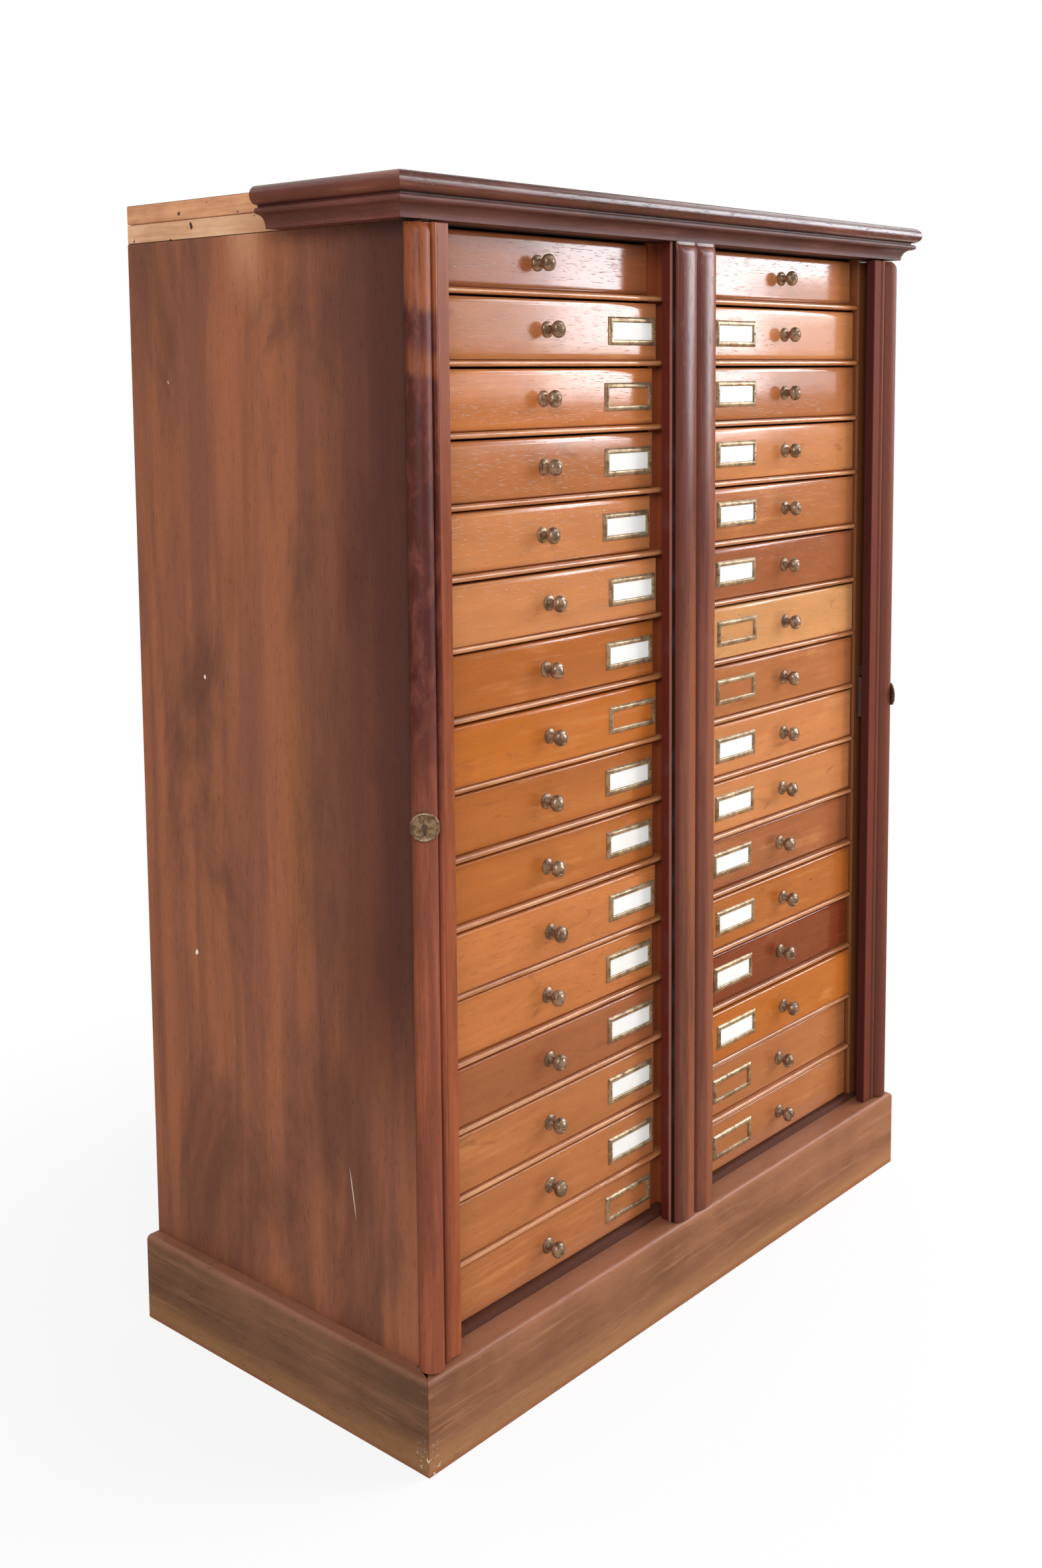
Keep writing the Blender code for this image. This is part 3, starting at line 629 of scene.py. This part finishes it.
# Centre pilaster: one mahogany board with two broad reeds worked on its face, stopped and rounded
# below the cornice, and a small bead along each rear edge. It is glued over the partition's edge.

PILASTER_LOW, PILASTER_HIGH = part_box("centre_pilaster")
PILASTER_HALF = PILASTER_HIGH.x
REED_SWELL = 0.0065
REED_FULLNESS = 0.8
REED_STEPS = 18
REED_GROOVE = 0.001
STOP_H = 0.011
STOP_CURVE = (0.3, 0.55, 0.75, 0.9)
STOP_BELOW = 0.003
STOP_END = 0.12
SIDE_BEAD = 0.0017
SIDE_BEAD_OUT = 0.0005
BEAD_Y = PILASTER_LOW.y + 0.0123


def reeded_plan(swell):
    """The pilaster's outline with its reeds swelling that far."""
    base = PILASTER_LOW.y + REED_SWELL
    back = PILASTER_HIGH.y
    right = arc(PILASTER_HALF + SIDE_BEAD_OUT, BEAD_Y, SIDE_BEAD, 90, -90, 8)
    left = [(-x, y) for x, y in reversed(right)]
    plan = [(-PILASTER_HALF, back), (PILASTER_HALF, back)] + right + [(PILASTER_HALF, base)]
    for middle in (PILASTER_HALF / 2, -PILASTER_HALF / 2):
        for i in range(1, REED_STEPS):
            t = math.pi * i / REED_STEPS
            rise = swell * math.sin(t) ** REED_FULLNESS
            plan.append((middle + PILASTER_HALF / 2 * math.cos(t), base - rise))
        if middle > 0:
            plan.append((0, base + REED_GROOVE))
    return plan + [(-PILASTER_HALF, base)] + left


def reed_finish():
    """Brown polish on the reeds, lighter and warmer on the right of each as a painted lit side, dark red
    where they meet and at their edges as painted shade; on the flanks painted shade, dark red behind the bead
    and nearly black in the hollow before it, the bead paler pink as a painted highlight.
    """
    look, shader, place = finish("reed_polish")
    stripes, streaks, pores = figure(place, "z")
    clouds = place.stretched((1, 1, 0.3)).noise(8.0, 4.0, 0.6, 0.5)
    across = place.sum("FLOORED_MODULO", place.axis(0), PILASTER_HALF) * (1 / PILASTER_HALF)
    depth = place.axis(1)
    body = (streaks * 0.5 + clouds * 0.5).between(0.36, 0.64)
    body = body.blend((0.092, 0.028, 0.021, 1), (0.165, 0.053, 0.036, 1))
    # Painted light: each reed is made lighter and warmer on its right side, where the light falls.
    painted_lit_side = across.between(0.34, 0.60) * (clouds * 0.6 + stripes * 0.4).between(0.34, 0.56)
    body = (painted_lit_side * 0.7).blend(body, (0.245, 0.080, 0.038, 1))
    # Painted shade: each reed turns dark red at its edges and where the two reeds meet.
    clear_of_groove_shade = across.between(0.05, 0.12) * (1 - across.between(0.90, 0.96))
    body = clear_of_groove_shade.blend((0.110, 0.030, 0.020, 1), body)
    # Painted shade on each flank: nearly black in the hollow before the bead and dark red behind it; the bead
    # between is paler pink, a painted highlight.
    flank = abs(place.axis(0)).between(PILASTER_HALF - 0.0009, PILASTER_HALF - 0.0006)
    root = PILASTER_LOW.y + REED_SWELL
    flank = flank * depth.between(root - 0.0004, root + 0.0004)
    before = 1 - depth.between(BEAD_Y + 0.0009, BEAD_Y + 0.0014)
    edge = before.blend((0.105, 0.016, 0.011, 1), (0.24, 0.088, 0.066, 1))
    edge = depth.between(BEAD_Y - 0.0021, BEAD_Y - 0.0015).blend((0.016, 0.004, 0.003, 1), edge)
    body = flank.blend(body, edge)
    colour = (1 - pores * 0.35).shade(body)
    lay(shader, colour, 0.22 + streaks * 0.08, streaks * 0.3 - pores * 0.5)
    polish(shader, 0.26)
    return look


bm = bmesh.new()
reed_head = PILASTER_HIGH.z - STOP_BELOW
stops = [(PILASTER_LOW.z, 1.0), (reed_head - STOP_H, 1.0)]
stops += [(reed_head - STOP_H * (1 - s), math.sqrt(1 - s * s)) for s in (*STOP_CURVE, 0.98)]
stops.append((PILASTER_HIGH.z, STOP_END))
loft(bm, [[bm.verts.new((x, y, z)) for x, y in reeded_plan(REED_SWELL * swell)] for z, swell in stops])
fit("pilaster_reeds", bm, reed_finish(), "carcass", "polished_mahogany", "centre_pilaster")

# Locking stiles: a three-quarter round reed at each front corner with a flat lip and a small strip
# towards the drawers, worked from one mahogany piece and hung on knife hinges. The reed is stopped
# below the cornice.

REED_R = 0.012
REED_IN = 0.0035
REED_X = SIDE_FACE - REED_IN
REED_ROUND_STEPS = 40
REED_STUB = 0.45
REED_START = math.degrees(math.asin(0.25))
LIP_FRONT = 0.0045
LIP_BACK = 0.006
LIP_EASE = 0.001
LIP_MEETS = (0.3865, 0.3885)
STRIP_R = 0.0031
STRIP_GAP = 0.0006
STRIP_SINK = 0.0012
QUIRK_RISE = 0.002
STILE_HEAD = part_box("top_board")[0].z - 0.0013
LIP_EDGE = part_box("locking_stile_right")[0].x
QUIRK = REED_X - REED_R - 0.0025


def stile_plan(reed, line):
    """The right-hand stile's outline with its reed at that radius; line is the reed's centre line."""
    end = math.degrees(math.asin(LIP_BACK / REED_R))
    front = line - LIP_FRONT
    strip = QUIRK - 2 * STRIP_R
    plan = [(LIP_EDGE, line + LIP_BACK), (LIP_EDGE, front + LIP_EASE), (LIP_EDGE + LIP_EASE, front)]
    plan += [(strip - STRIP_GAP, front), (strip, front + STRIP_SINK)]
    plan += arc(QUIRK - STRIP_R, front + LIP_EASE, STRIP_R, 180, 360, 8)
    plan.append((QUIRK, line - QUIRK_RISE))
    for x, y in arc(0, 0, 1, 180 + REED_START, 540 - end, REED_ROUND_STEPS):
        behind = min(1, max(0, (y + 0.1) / 0.5))
        radius = reed + (REED_R - reed) * behind
        plan.append((REED_X + x * radius, line + y * radius))
    return plan


def stile_finish(side):
    """Dark wine polish, redder on the lip and low down; the left one is worn bare in patches near the top."""
    look, shader, place = finish("stile_polish_" + side)
    right = float(side == "right")
    stripes, streaks, pores = figure(place, "z")
    clouds = place.stretched((1, 1, 0.4)).noise(9.0, 4.0, 0.6, 0.7)
    mottle = place.stretched((1, 1, 0.5)).noise(70.0, 4.0, 0.65, 0.4)
    height = place.axis(2)
    across = abs(place.axis(0))
    wine = (mottle * 0.6 + clouds * 0.4).between(0.42, 0.64)
    wine = wine.blend((0.070, 0.014, 0.010, 1), (0.150, 0.036, 0.023, 1))
    red = (streaks * 0.5 + clouds * 0.5).between(0.38, 0.66)
    red = red.blend((0.18, 0.048, 0.024, 1), (0.33, 0.090, 0.040, 1))
    low_down = 1 - (height + clouds * 0.2).between(0.62, 0.86)
    body = low_down.blend(wine, red)
    lip = 1 - across.between(*LIP_MEETS)
    lip_colour = (streaks * 0.5 + stripes * 0.5).between(0.36, 0.64)
    lip_colour = lip_colour.blend((0.19, 0.046, 0.019, 1), (0.31, 0.080, 0.031, 1))
    body = (lip * 0.85).blend(body, lip_colour)
    bare = (height + clouds * 0.03 + streaks * 0.02).between(1.098, 1.112)
    ragged = height + clouds * 0.05
    patch = ragged.between(1.042, 1.052) * (1 - ragged.between(1.062, 1.075))
    left_reed = (1 - lip) * (1 - right)
    bare = (bare + patch * 0.7) * streaks.between(0.30, 0.52) * left_reed
    body = (bare * 0.65).blend(body, (0.31, 0.088, 0.024, 1))
    faded = height.between(0.2, 0.9).blend((0.105, 0.031, 0.021, 1), (0.165, 0.050, 0.031, 1))
    faded = (lip * 0.9).blend(faded, (0.105, 0.019, 0.011, 1))
    body = (right * (0.75 + streaks * 0.25)).blend(body, faded)
    # Painted shade: the face of each lip that turns towards the drawers is made nearly black.
    lip_inner_shade = 1 - across.between(LIP_EDGE + 0.0005, LIP_EDGE + 0.0009)
    body = (lip_inner_shade * 0.9).blend(body, (0.055, 0.010, 0.008, 1))
    colour = (1 - pores * 0.4).shade(body)
    reed = across.between(QUIRK + 0.0005, QUIRK + 0.0020)
    rough = 0.24 + mottle * 0.12 + right * (0.22 + lip * 0.2) + (1 - right) * reed * 0.18
    lay(shader, colour, rough, streaks * 0.25 - pores * 0.4)
    polish(shader, 0.24 - right * 0.08)
    return look


for side, sign in (("left", -1), ("right", 1)):
    low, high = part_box("locking_stile_" + side)
    line = low.y + REED_R
    stops = [(low.z, 1.0), (STILE_HEAD - STOP_H, 1.0)]
    stops += [(STILE_HEAD - STOP_H * (1 - s), math.sqrt(1 - s * s)) for s in STOP_CURVE]
    bm = bmesh.new()
    rings = []
    for z, swell in stops:
        plan = stile_plan(REED_R * max(swell, REED_STUB), line)
        rings.append([bm.verts.new((sign * x, y, z)) for x, y in plan])
    loft(bm, rings)
    look = stile_finish(side)
    fit(f"stile_{side}_reed", bm, look, "stile_" + side, "polished_mahogany", "locking_stile_" + side)

# Locks: a round brass escutcheon pinned on each corner reed with a keyhole through it, an iron case
# behind the lip and a bolt that shoots up behind its keeper. Small pivots carry the stiles.

ESCUTCHEON_R = 0.0138
ESCUTCHEON_SLANT = math.radians(45)
ESCUTCHEON_GAP = 0.0003
ESCUTCHEON_STEPS = 48
KEYHOLE_R = 0.0027
KEYHOLE_HALF = 0.0015
KEYHOLE_DROP = 0.0078
KEYHOLE_FROM = 0.004
KEYHOLE_DEEP = 0.0072
PLATE_PINS = 5
PLATE_PIN_TURN = 18
PLATE_PIN_AT = (0.0124, 0, 0.0019)
PIVOT_OUT = 0.0035
PIVOT_BACK = 0.009
PIVOT_PIN_R = 0.0016
PIVOT_PIN_EASE = 0.0004
PIVOT_STEPS = 14
PLATE_T = 0.002
plate_profile = [
    (0.0130, 0.0), (ESCUTCHEON_R, 0.0006), (ESCUTCHEON_R, 0.0014), (0.0133, 0.0021), (0.0125, 0.0024),
    (0.0116, 0.0021), (0.0108, 0.0013), (0.0102, 0.0011), (0.0085, 0.0012), (0.0050, 0.0013),
]
plate_pin = [(0.0010, 0.0), (0.0009, 0.0006), (0.0004, 0.0009)]
keyhole_shade_profile = [(0.0072, -0.0002), (0.0072, 0.0004), (0.0060, 0.0005)]
escutcheon_look = aged_brass("escutcheon_brass", (0.36, 0.25, 0.150), (0.16, 0.096, 0.055), 160.0, 0.02)


def iron_finish():
    """Dark lock iron with brown rust."""
    look, shader, place = finish("lock_iron")
    rust = place.noise(220.0, 5.0, 0.65)
    colour = rust.between(0.45, 0.7).blend((0.10, 0.095, 0.09, 1), (0.20, 0.10, 0.055, 1))
    lay(shader, colour, 0.45 + rust * 0.3, rust, relief=0.0001)
    shader.inputs["Metallic"].default_value = 0.8
    return look


def keyhole(bm, matrix):
    """A keyhole outline, run through the plate."""
    shape = arc(0, 0, KEYHOLE_R, -60, 240, 16)
    shape += [(-KEYHOLE_HALF, -KEYHOLE_DROP), (KEYHOLE_HALF, -KEYHOLE_DROP)]
    inward = matrix.to_3x3() @ Vector((0, 0, -KEYHOLE_DEEP))
    run(bm, [matrix @ Vector((x, y, KEYHOLE_FROM)) for x, y in shape], lambda co: co + inward)


iron_look = iron_finish()
for side, sign in (("left", -1), ("right", 1)):
    low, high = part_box("locking_stile_" + side)
    line = low.y + REED_R
    z = sum(corner.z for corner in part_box("escutcheon_" + side)) / 2
    out = Vector((sign * math.sin(ESCUTCHEON_SLANT), -math.cos(ESCUTCHEON_SLANT), 0))
    seat = Vector((sign * REED_X, line, z)) + out * (REED_R + ESCUTCHEON_GAP)
    matrix = Matrix.Translation(seat) @ Matrix.Rotation(sign * ESCUTCHEON_SLANT, 4, "Z") @ FACING
    stile, plate = "stile_" + side, "escutcheon_" + side
    bm = bmesh.new()
    turned(bm, plate_profile, ESCUTCHEON_STEPS, matrix)
    for i in range(PLATE_PINS):
        turn = Matrix.Rotation(math.radians(PLATE_PIN_TURN + 360 / PLATE_PINS * i), 4, "Z")
        turned(bm, plate_pin, PIN_STEPS, matrix @ turn @ Matrix.Translation(PLATE_PIN_AT))
    disc = fit(f"escutcheon_{side}_plate", bm, escutcheon_look, stile, "aged_brass", plate)
    bm = bmesh.new()
    keyhole(bm, matrix)
    bmesh.ops.recalc_face_normals(bm, faces=bm.faces)
    cutter_mesh = bpy.data.meshes.new("keyhole_cutter")
    bm.to_mesh(cutter_mesh)
    bm.free()
    cutter = bpy.data.objects.new("keyhole_cutter", cutter_mesh)
    bpy.context.scene.collection.objects.link(cutter)
    change = disc.modifiers.new("keyhole", "BOOLEAN")
    change.operation = "DIFFERENCE"
    change.object = cutter
    bpy.context.view_layer.update()
    cut = bpy.data.meshes.new_from_object(disc.evaluated_get(bpy.context.evaluated_depsgraph_get()))
    disc.modifiers.clear()
    disc.data = cut
    bpy.data.objects.remove(cutter)
    # Painted shade: a dark iron disc set behind the keyhole, so the hole shows dark.
    bm = bmesh.new()
    turned(bm, keyhole_shade_profile, ESCUTCHEON_STEPS // 2, matrix)
    fit(f"keyway_{side}", bm, iron_look, stile, "lock_steel", plate)
    dress(iron_look, "lock_steel", "lock_case_" + side, "lock_bolt_" + side, "lock_keeper_" + side)
    dress(escutcheon_look, "aged_brass", "pivot_bottom_" + side)
    # Painted shade in part: the pivots take the dark iron finish so that they show dark in the shadow under
    # the cornice.
    ceiling = STILE_HEAD + PLATE_T / 2
    axis = (SIDE_FACE + PIVOT_OUT, line + PIVOT_BACK)
    ear = arc(*axis, PIVOT_OUT, -60, 150, 8)
    ear += [(REED_X - REED_R, line + PIVOT_OUT), (REED_X - REED_R, line - PIVOT_OUT)]
    bm = bmesh.new()
    run(bm, [(sign * x, y, STILE_HEAD) for x, y in ear], lambda co: Vector((co.x, co.y, ceiling)))
    tall = high.z - ceiling
    pin = [(PIVOT_PIN_R, 0.0), (PIVOT_PIN_R, tall - PIVOT_PIN_EASE), (PIVOT_PIN_R - PIVOT_PIN_EASE, tall)]
    turned(bm, pin, PIVOT_STEPS, Matrix.Translation((sign * axis[0], axis[1], ceiling)))
    fit(f"stile_{side}_pivot", bm, iron_look, stile, "lock_steel", "locking_stile_" + side)

# Top: two layers of pale board glued face to face, dull on the upper face. The left return of
# the moulding is lost behind, so the raw edges of both layers show there, with nail holes.

TOP_LOW, TOP_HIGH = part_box("top_board")
TOP_EASE = 0.0006
LAYER_T = 0.0195
LAYER_GAP = 0.0006
RETURN_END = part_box("cornice_left")[1].y


def raw_edge_finish(name, tan, deep):
    """Sawn edges with nail holes, darker near the broken return; old polish on the top face."""
    look, shader, place = finish(name)
    saw = place.stretched(ALONG["y"]).noise(10.0, 5.0, 0.65)
    top = place.axis(2).between(TOP_HIGH.z - 0.0008, TOP_HIGH.z - 0.0002)
    holes = place.noise(85.0, 1.0, 0.4).between(0.715, 0.740) * (1 - top)
    stain = place.stretched((0.2, 1, 1.5)).noise(16.0, 4.0, 0.6)
    body = (saw * 0.5 + stain * 0.5).between(0.36, 0.66).blend((*deep, 1), (*tan, 1))
    old = stain.between(0.35, 0.7).blend((0.13, 0.055, 0.032, 1), (0.24, 0.11, 0.06, 1))
    body = top.blend(body, old)
    stump = 1 - (place.axis(1) + stain * 0.03).between(RETURN_END + 0.016, RETURN_END + 0.034)
    upper = place.axis(2).between(TOP_LOW.z + 0.017, TOP_LOW.z + 0.021)
    body = (stump * upper * 0.8).blend(body, (0.14, 0.050, 0.028, 1))
    under = 1 - place.axis(2).between(TOP_LOW.z + 0.0002, TOP_LOW.z + 0.0008)
    body = under.blend(body, (0.045, 0.018, 0.012, 1))
    colour = holes.blend(body, (0.06, 0.03, 0.02, 1))
    lay(shader, colour, 0.6 + saw * 0.25, saw * 0.6 - holes, relief=0.0004)
    return look


layer_z = TOP_LOW.z + LAYER_T
layers = (
    ("top_upper_layer", layer_z, TOP_HIGH.z, (0.67, 0.33, 0.160), (0.45, 0.185, 0.085)),
    ("top_lower_layer", TOP_LOW.z, layer_z - LAYER_GAP, (0.72, 0.42, 0.245), (0.53, 0.26, 0.130)),
)
for name, floor_z, top_z, tan, deep in layers:
    bm = bmesh.new()
    slab(bm, (TOP_LOW.x, TOP_LOW.y, floor_z), (TOP_HIGH.x, TOP_HIGH.y, top_z))
    bmesh.ops.bevel(bm, geom=bm.edges[:], offset=TOP_EASE, segments=2, affect="EDGES")
    fit(name, bm, raw_edge_finish(name, tan, deep), "carcass", "polished_mahogany", "top_board")

# Cornice: a mahogany moulding of bullnose, quirk, bead and hollow, run on three sides of the top and
# mitred at the corners. Most of the left return is missing.

CORNICE_OUT = 0.040
CORNICE_GAP = 0.0003
CORNICE_MITRE = 0.0002
HOLLOW_OUT, HOLLOW_W, HOLLOW_H = 0.0305, 0.0095, 0.0125
BEAD_OUT, BEAD_UP, BEAD_R = 0.0318, 0.0158, 0.0028
QUIRK_OUT = 0.0300
NOSE_W, NOSE_H = 0.0085, 0.0088
NOSE_FOOT = TOP_LOW.z + 0.0200


def cornice_section():
    """Projection from the carcass and height, from the foot of the hollow round to the top."""
    foot, head = TOP_LOW.z, TOP_HIGH.z
    quarter = arc(0, 0, 1, 0, 90, 8)
    hollow = [(HOLLOW_OUT - HOLLOW_W * x, foot + HOLLOW_H * y) for x, y in quarter]
    bead = arc(BEAD_OUT, foot + BEAD_UP, BEAD_R, -80, 80, 8)
    quirk = [(QUIRK_OUT, foot + 0.0190), (QUIRK_OUT, foot + 0.0204)]
    half = arc(0, 0, 1, -90, 90, 14)
    nose = [(CORNICE_OUT - NOSE_W + NOSE_W * x, head - NOSE_H + NOSE_H * y) for x, y in half]
    return [(CORNICE_GAP, foot)] + hollow + bead + quirk + nose + [(CORNICE_GAP, head)]


def cornice_finish(along, dark, middle, light):
    """French-polished mahogany with clouds of darker polish, dull below the bullnose and on the flat top."""
    look, shader, place = finish("cornice_polish_" + along)
    stripes, streaks, pores = figure(place, along)
    clouds = place.noise(5.0, 4.0, 0.6, 0.5)
    body = (stripes * 0.55 + clouds * 0.45).between(0.32, 0.66).blend((*dark, 1), (*middle, 1))
    body = (streaks * 0.7 + clouds * 0.3).between(0.52, 0.74).blend(body, (*light, 1))
    colour = (1 - pores * 0.4).shade(body)
    specks = place.noise(330.0, 2.0, 0.5).between(0.75, 0.78)
    colour = (specks * 0.45).blend(colour, (0.60, 0.45, 0.36, 1))
    height = place.axis(2)
    flat = height.between(TOP_HIGH.z - 0.0007, TOP_HIGH.z - 0.0002)
    dust = 1 - height.between(NOSE_FOOT, NOSE_FOOT + 0.0015) + flat
    rough = 0.20 + streaks * 0.1 + specks * 0.3 + dust * 0.3
    lay(shader, colour, rough, streaks * 0.3 - pores * 0.5)
    polish(shader, 0.45)
    return look


section = cornice_section()
# Painted light: the returns get lighter tones than the front, making up for the weaker light on the sides.
front_tones = ((0.050, 0.014, 0.010), (0.105, 0.031, 0.022), (0.18, 0.060, 0.039))
side_tones_painted_lighter = ((0.085, 0.024, 0.016), (0.180, 0.053, 0.034), (0.29, 0.095, 0.056))
bm = bmesh.new()
ring = [(-SIDE_FACE - out, TOP_LOW.y - out, z) for out, z in section]
run(bm, ring, lambda co: Vector((-co.x, co.y, co.z)))
front_moulding = cornice_finish("x", *front_tones)
fit("cornice_front_moulding", bm, front_moulding, "carcass", "polished_mahogany", "cornice_front")
side_moulding = cornice_finish("y", *side_tones_painted_lighter)
for side, sign in (("left", -1), ("right", 1)):
    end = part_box("cornice_" + side)[1].y
    bm = bmesh.new()
    ring = [(sign * (SIDE_FACE + out), TOP_LOW.y - out + CORNICE_MITRE, z) for out, z in section]
    run(bm, ring, lambda co: Vector((co.x, end, co.z)))
    fit(f"cornice_{side}_moulding", bm, side_moulding, "carcass", "polished_mahogany", "cornice_" + side)

# Studio: a plain pale floor, a soft key from the front left, and at the right a window and a pale wall
# that show in the polish of the upper fronts. Lamps in front, above and low down fill in, and a strip
# lights the rounded edges.

FLOOR_REACH = 9
FLOOR_DROP = 0.0004


def floor_finish():
    """Pale near the cabinet, where its shadow falls, and plain white to the camera further out."""
    look, shader, place = finish("studio_floor")
    shader.inputs["Roughness"].default_value = 0.9
    mirrored = place.node("ShaderNodeLightPath", {}, {}, out="Is Glossy Ray")
    lay(shader, mirrored.blend((0.88, 0.88, 0.88, 1), (0.40, 0.22, 0.08, 1)))
    camera_ray = place.node("ShaderNodeLightPath", {}, {}, out="Is Camera Ray")
    reach = place.node("ShaderNodeVectorMath", {"operation": "LENGTH"}, {0: place}, out=1)
    glow = place.node("ShaderNodeEmission", {}, {"Color": (1, 1, 1, 1), "Strength": 1.0})
    far = camera_ray * (0.82 + reach.between(0.5, 1.1) * 0.18)
    both = place.node("ShaderNodeMixShader", {}, {0: far, 1: Grain(place.tree, shader.outputs[0]), 2: glow})
    place.tree.links.new(both.socket, place.tree.nodes["Material Output"].inputs["Surface"])
    return look


bm = bmesh.new()
bmesh.ops.create_grid(bm, x_segments=2, y_segments=2, size=FLOOR_REACH)
floor_mesh = bpy.data.meshes.new("studio_floor")
bm.to_mesh(floor_mesh)
bm.free()
floor_mesh.materials.append(floor_finish())
floor = bpy.data.objects.new("studio_floor", floor_mesh)
floor.location.z = -FLOOR_DROP
bpy.context.scene.collection.objects.link(floor)


def panel_light(name, place, aim, size, power, tint=(1, 1, 1), mirrored=True):
    """A soft rectangular lamp at a place, aimed at a point."""
    lamp = bpy.data.lights.new(name, "AREA")
    lamp.shape = "RECTANGLE"
    lamp.size, lamp.size_y = size
    lamp.energy = power
    lamp.color = tint
    made = bpy.data.objects.new(name, lamp)
    made.location = place
    made.rotation_euler = (Vector(aim) - Vector(place)).to_track_quat("-Z", "Y").to_euler()
    made.visible_camera = False
    made.visible_glossy = mirrored
    bpy.context.scene.collection.objects.link(made)


DAYLIGHT = (0.88, 0.93, 1.0)
panel_light("key_light", (-2.65, -2.2, 2.3), (-0.1, -0.1, 0.6), (2.0, 1.5), 72)
panel_light("right_fill", (1.70, -1.60, 0.22), (-0.1, -0.17, 0.6), (0.3, 0.25), 12, (1.0, 0.88, 0.70), False)
panel_light("right_window", (2.53, -1.64, 1.79), (0.21, 0.11, 1.79), (1.30, 1.02), 42, DAYLIGHT)
panel_light("window_foot", (2.30, -1.95, 1.115), (0.0, -0.20, 1.115), (0.52, 0.33), 6, DAYLIGHT)
panel_light("right_wall", (2.36, -2.02, 1.60), (0.0, -0.20, 1.60), (1.45, 1.25), 16, DAYLIGHT)
panel_light("front_lamp", (1.35, -1.95, 1.95), (-0.35, -0.20, 1.18), (0.55, 0.7), 8)
panel_light("upper_lamp", (1.85, -0.35, 2.30), (0.0, -0.17, 1.0), (1.3, 0.7), 9)
panel_light("edge_strip", (1.90, -0.10, 0.75), (0.2, -0.18, 0.75), (0.3, 1.3), 3)
world = bpy.data.worlds.new("studio_sky")
world.use_nodes = True
bpy.context.scene.world = world
sky = world.node_tree
backdrop = sky.nodes["Background"]
backdrop.inputs["Color"].default_value = (1, 1, 1, 1)
path = sky.nodes.new("ShaderNodeLightPath")
seen = Grain(sky, path.outputs["Is Camera Ray"])
mirrored = Grain(sky, path.outputs["Is Glossy Ray"])
direction = Grain(sky, sky.nodes.new("ShaderNodeTexCoord").outputs["Generated"])
behind = direction.axis(1).between(0.1, 0.5) * direction.axis(2).between(0.25, 0.5)
strength = 0.55 + seen * 0.45 - mirrored * (0.38 - behind * 0.8)
sky.links.new(strength.socket, backdrop.inputs["Strength"])
bpy.context.scene.view_settings.view_transform = "Standard"

# Camera: where the photograph was taken from, worked out from the lines of the drawers. The lens is
# shifted, because its axis meets the picture well above the middle.

EYE = (-1.4955, -1.2730, 1.0212)
YAW, PITCH, ROLL = math.radians(48.576), math.radians(6.136), math.radians(-0.453)
FOCAL_PX = 2596.7
CENTRE_Y_PX = 842.2
PHOTO_H = 2360
SENSOR_MM = 36
ahead = Vector((math.sin(YAW) * math.cos(PITCH), math.cos(YAW) * math.cos(PITCH), -math.sin(PITCH)))
level = Vector((math.cos(YAW), -math.sin(YAW), 0))
upward = level.cross(ahead)
right_way = level * math.cos(ROLL) + upward * math.sin(ROLL)
up_way = upward * math.cos(ROLL) - level * math.sin(ROLL)
lens = bpy.data.cameras.new("photo_camera")
lens.sensor_width = SENSOR_MM
lens.lens = SENSOR_MM * FOCAL_PX / PHOTO_H
lens.shift_y = (CENTRE_Y_PX - PHOTO_H / 2) / PHOTO_H
camera = bpy.data.objects.new("photo_camera", lens)
turn = Matrix((right_way, up_way, -ahead)).transposed().to_4x4()
camera.matrix_world = Matrix.Translation(EYE) @ turn
bpy.context.scene.collection.objects.link(camera)
bpy.context.scene.camera = camera
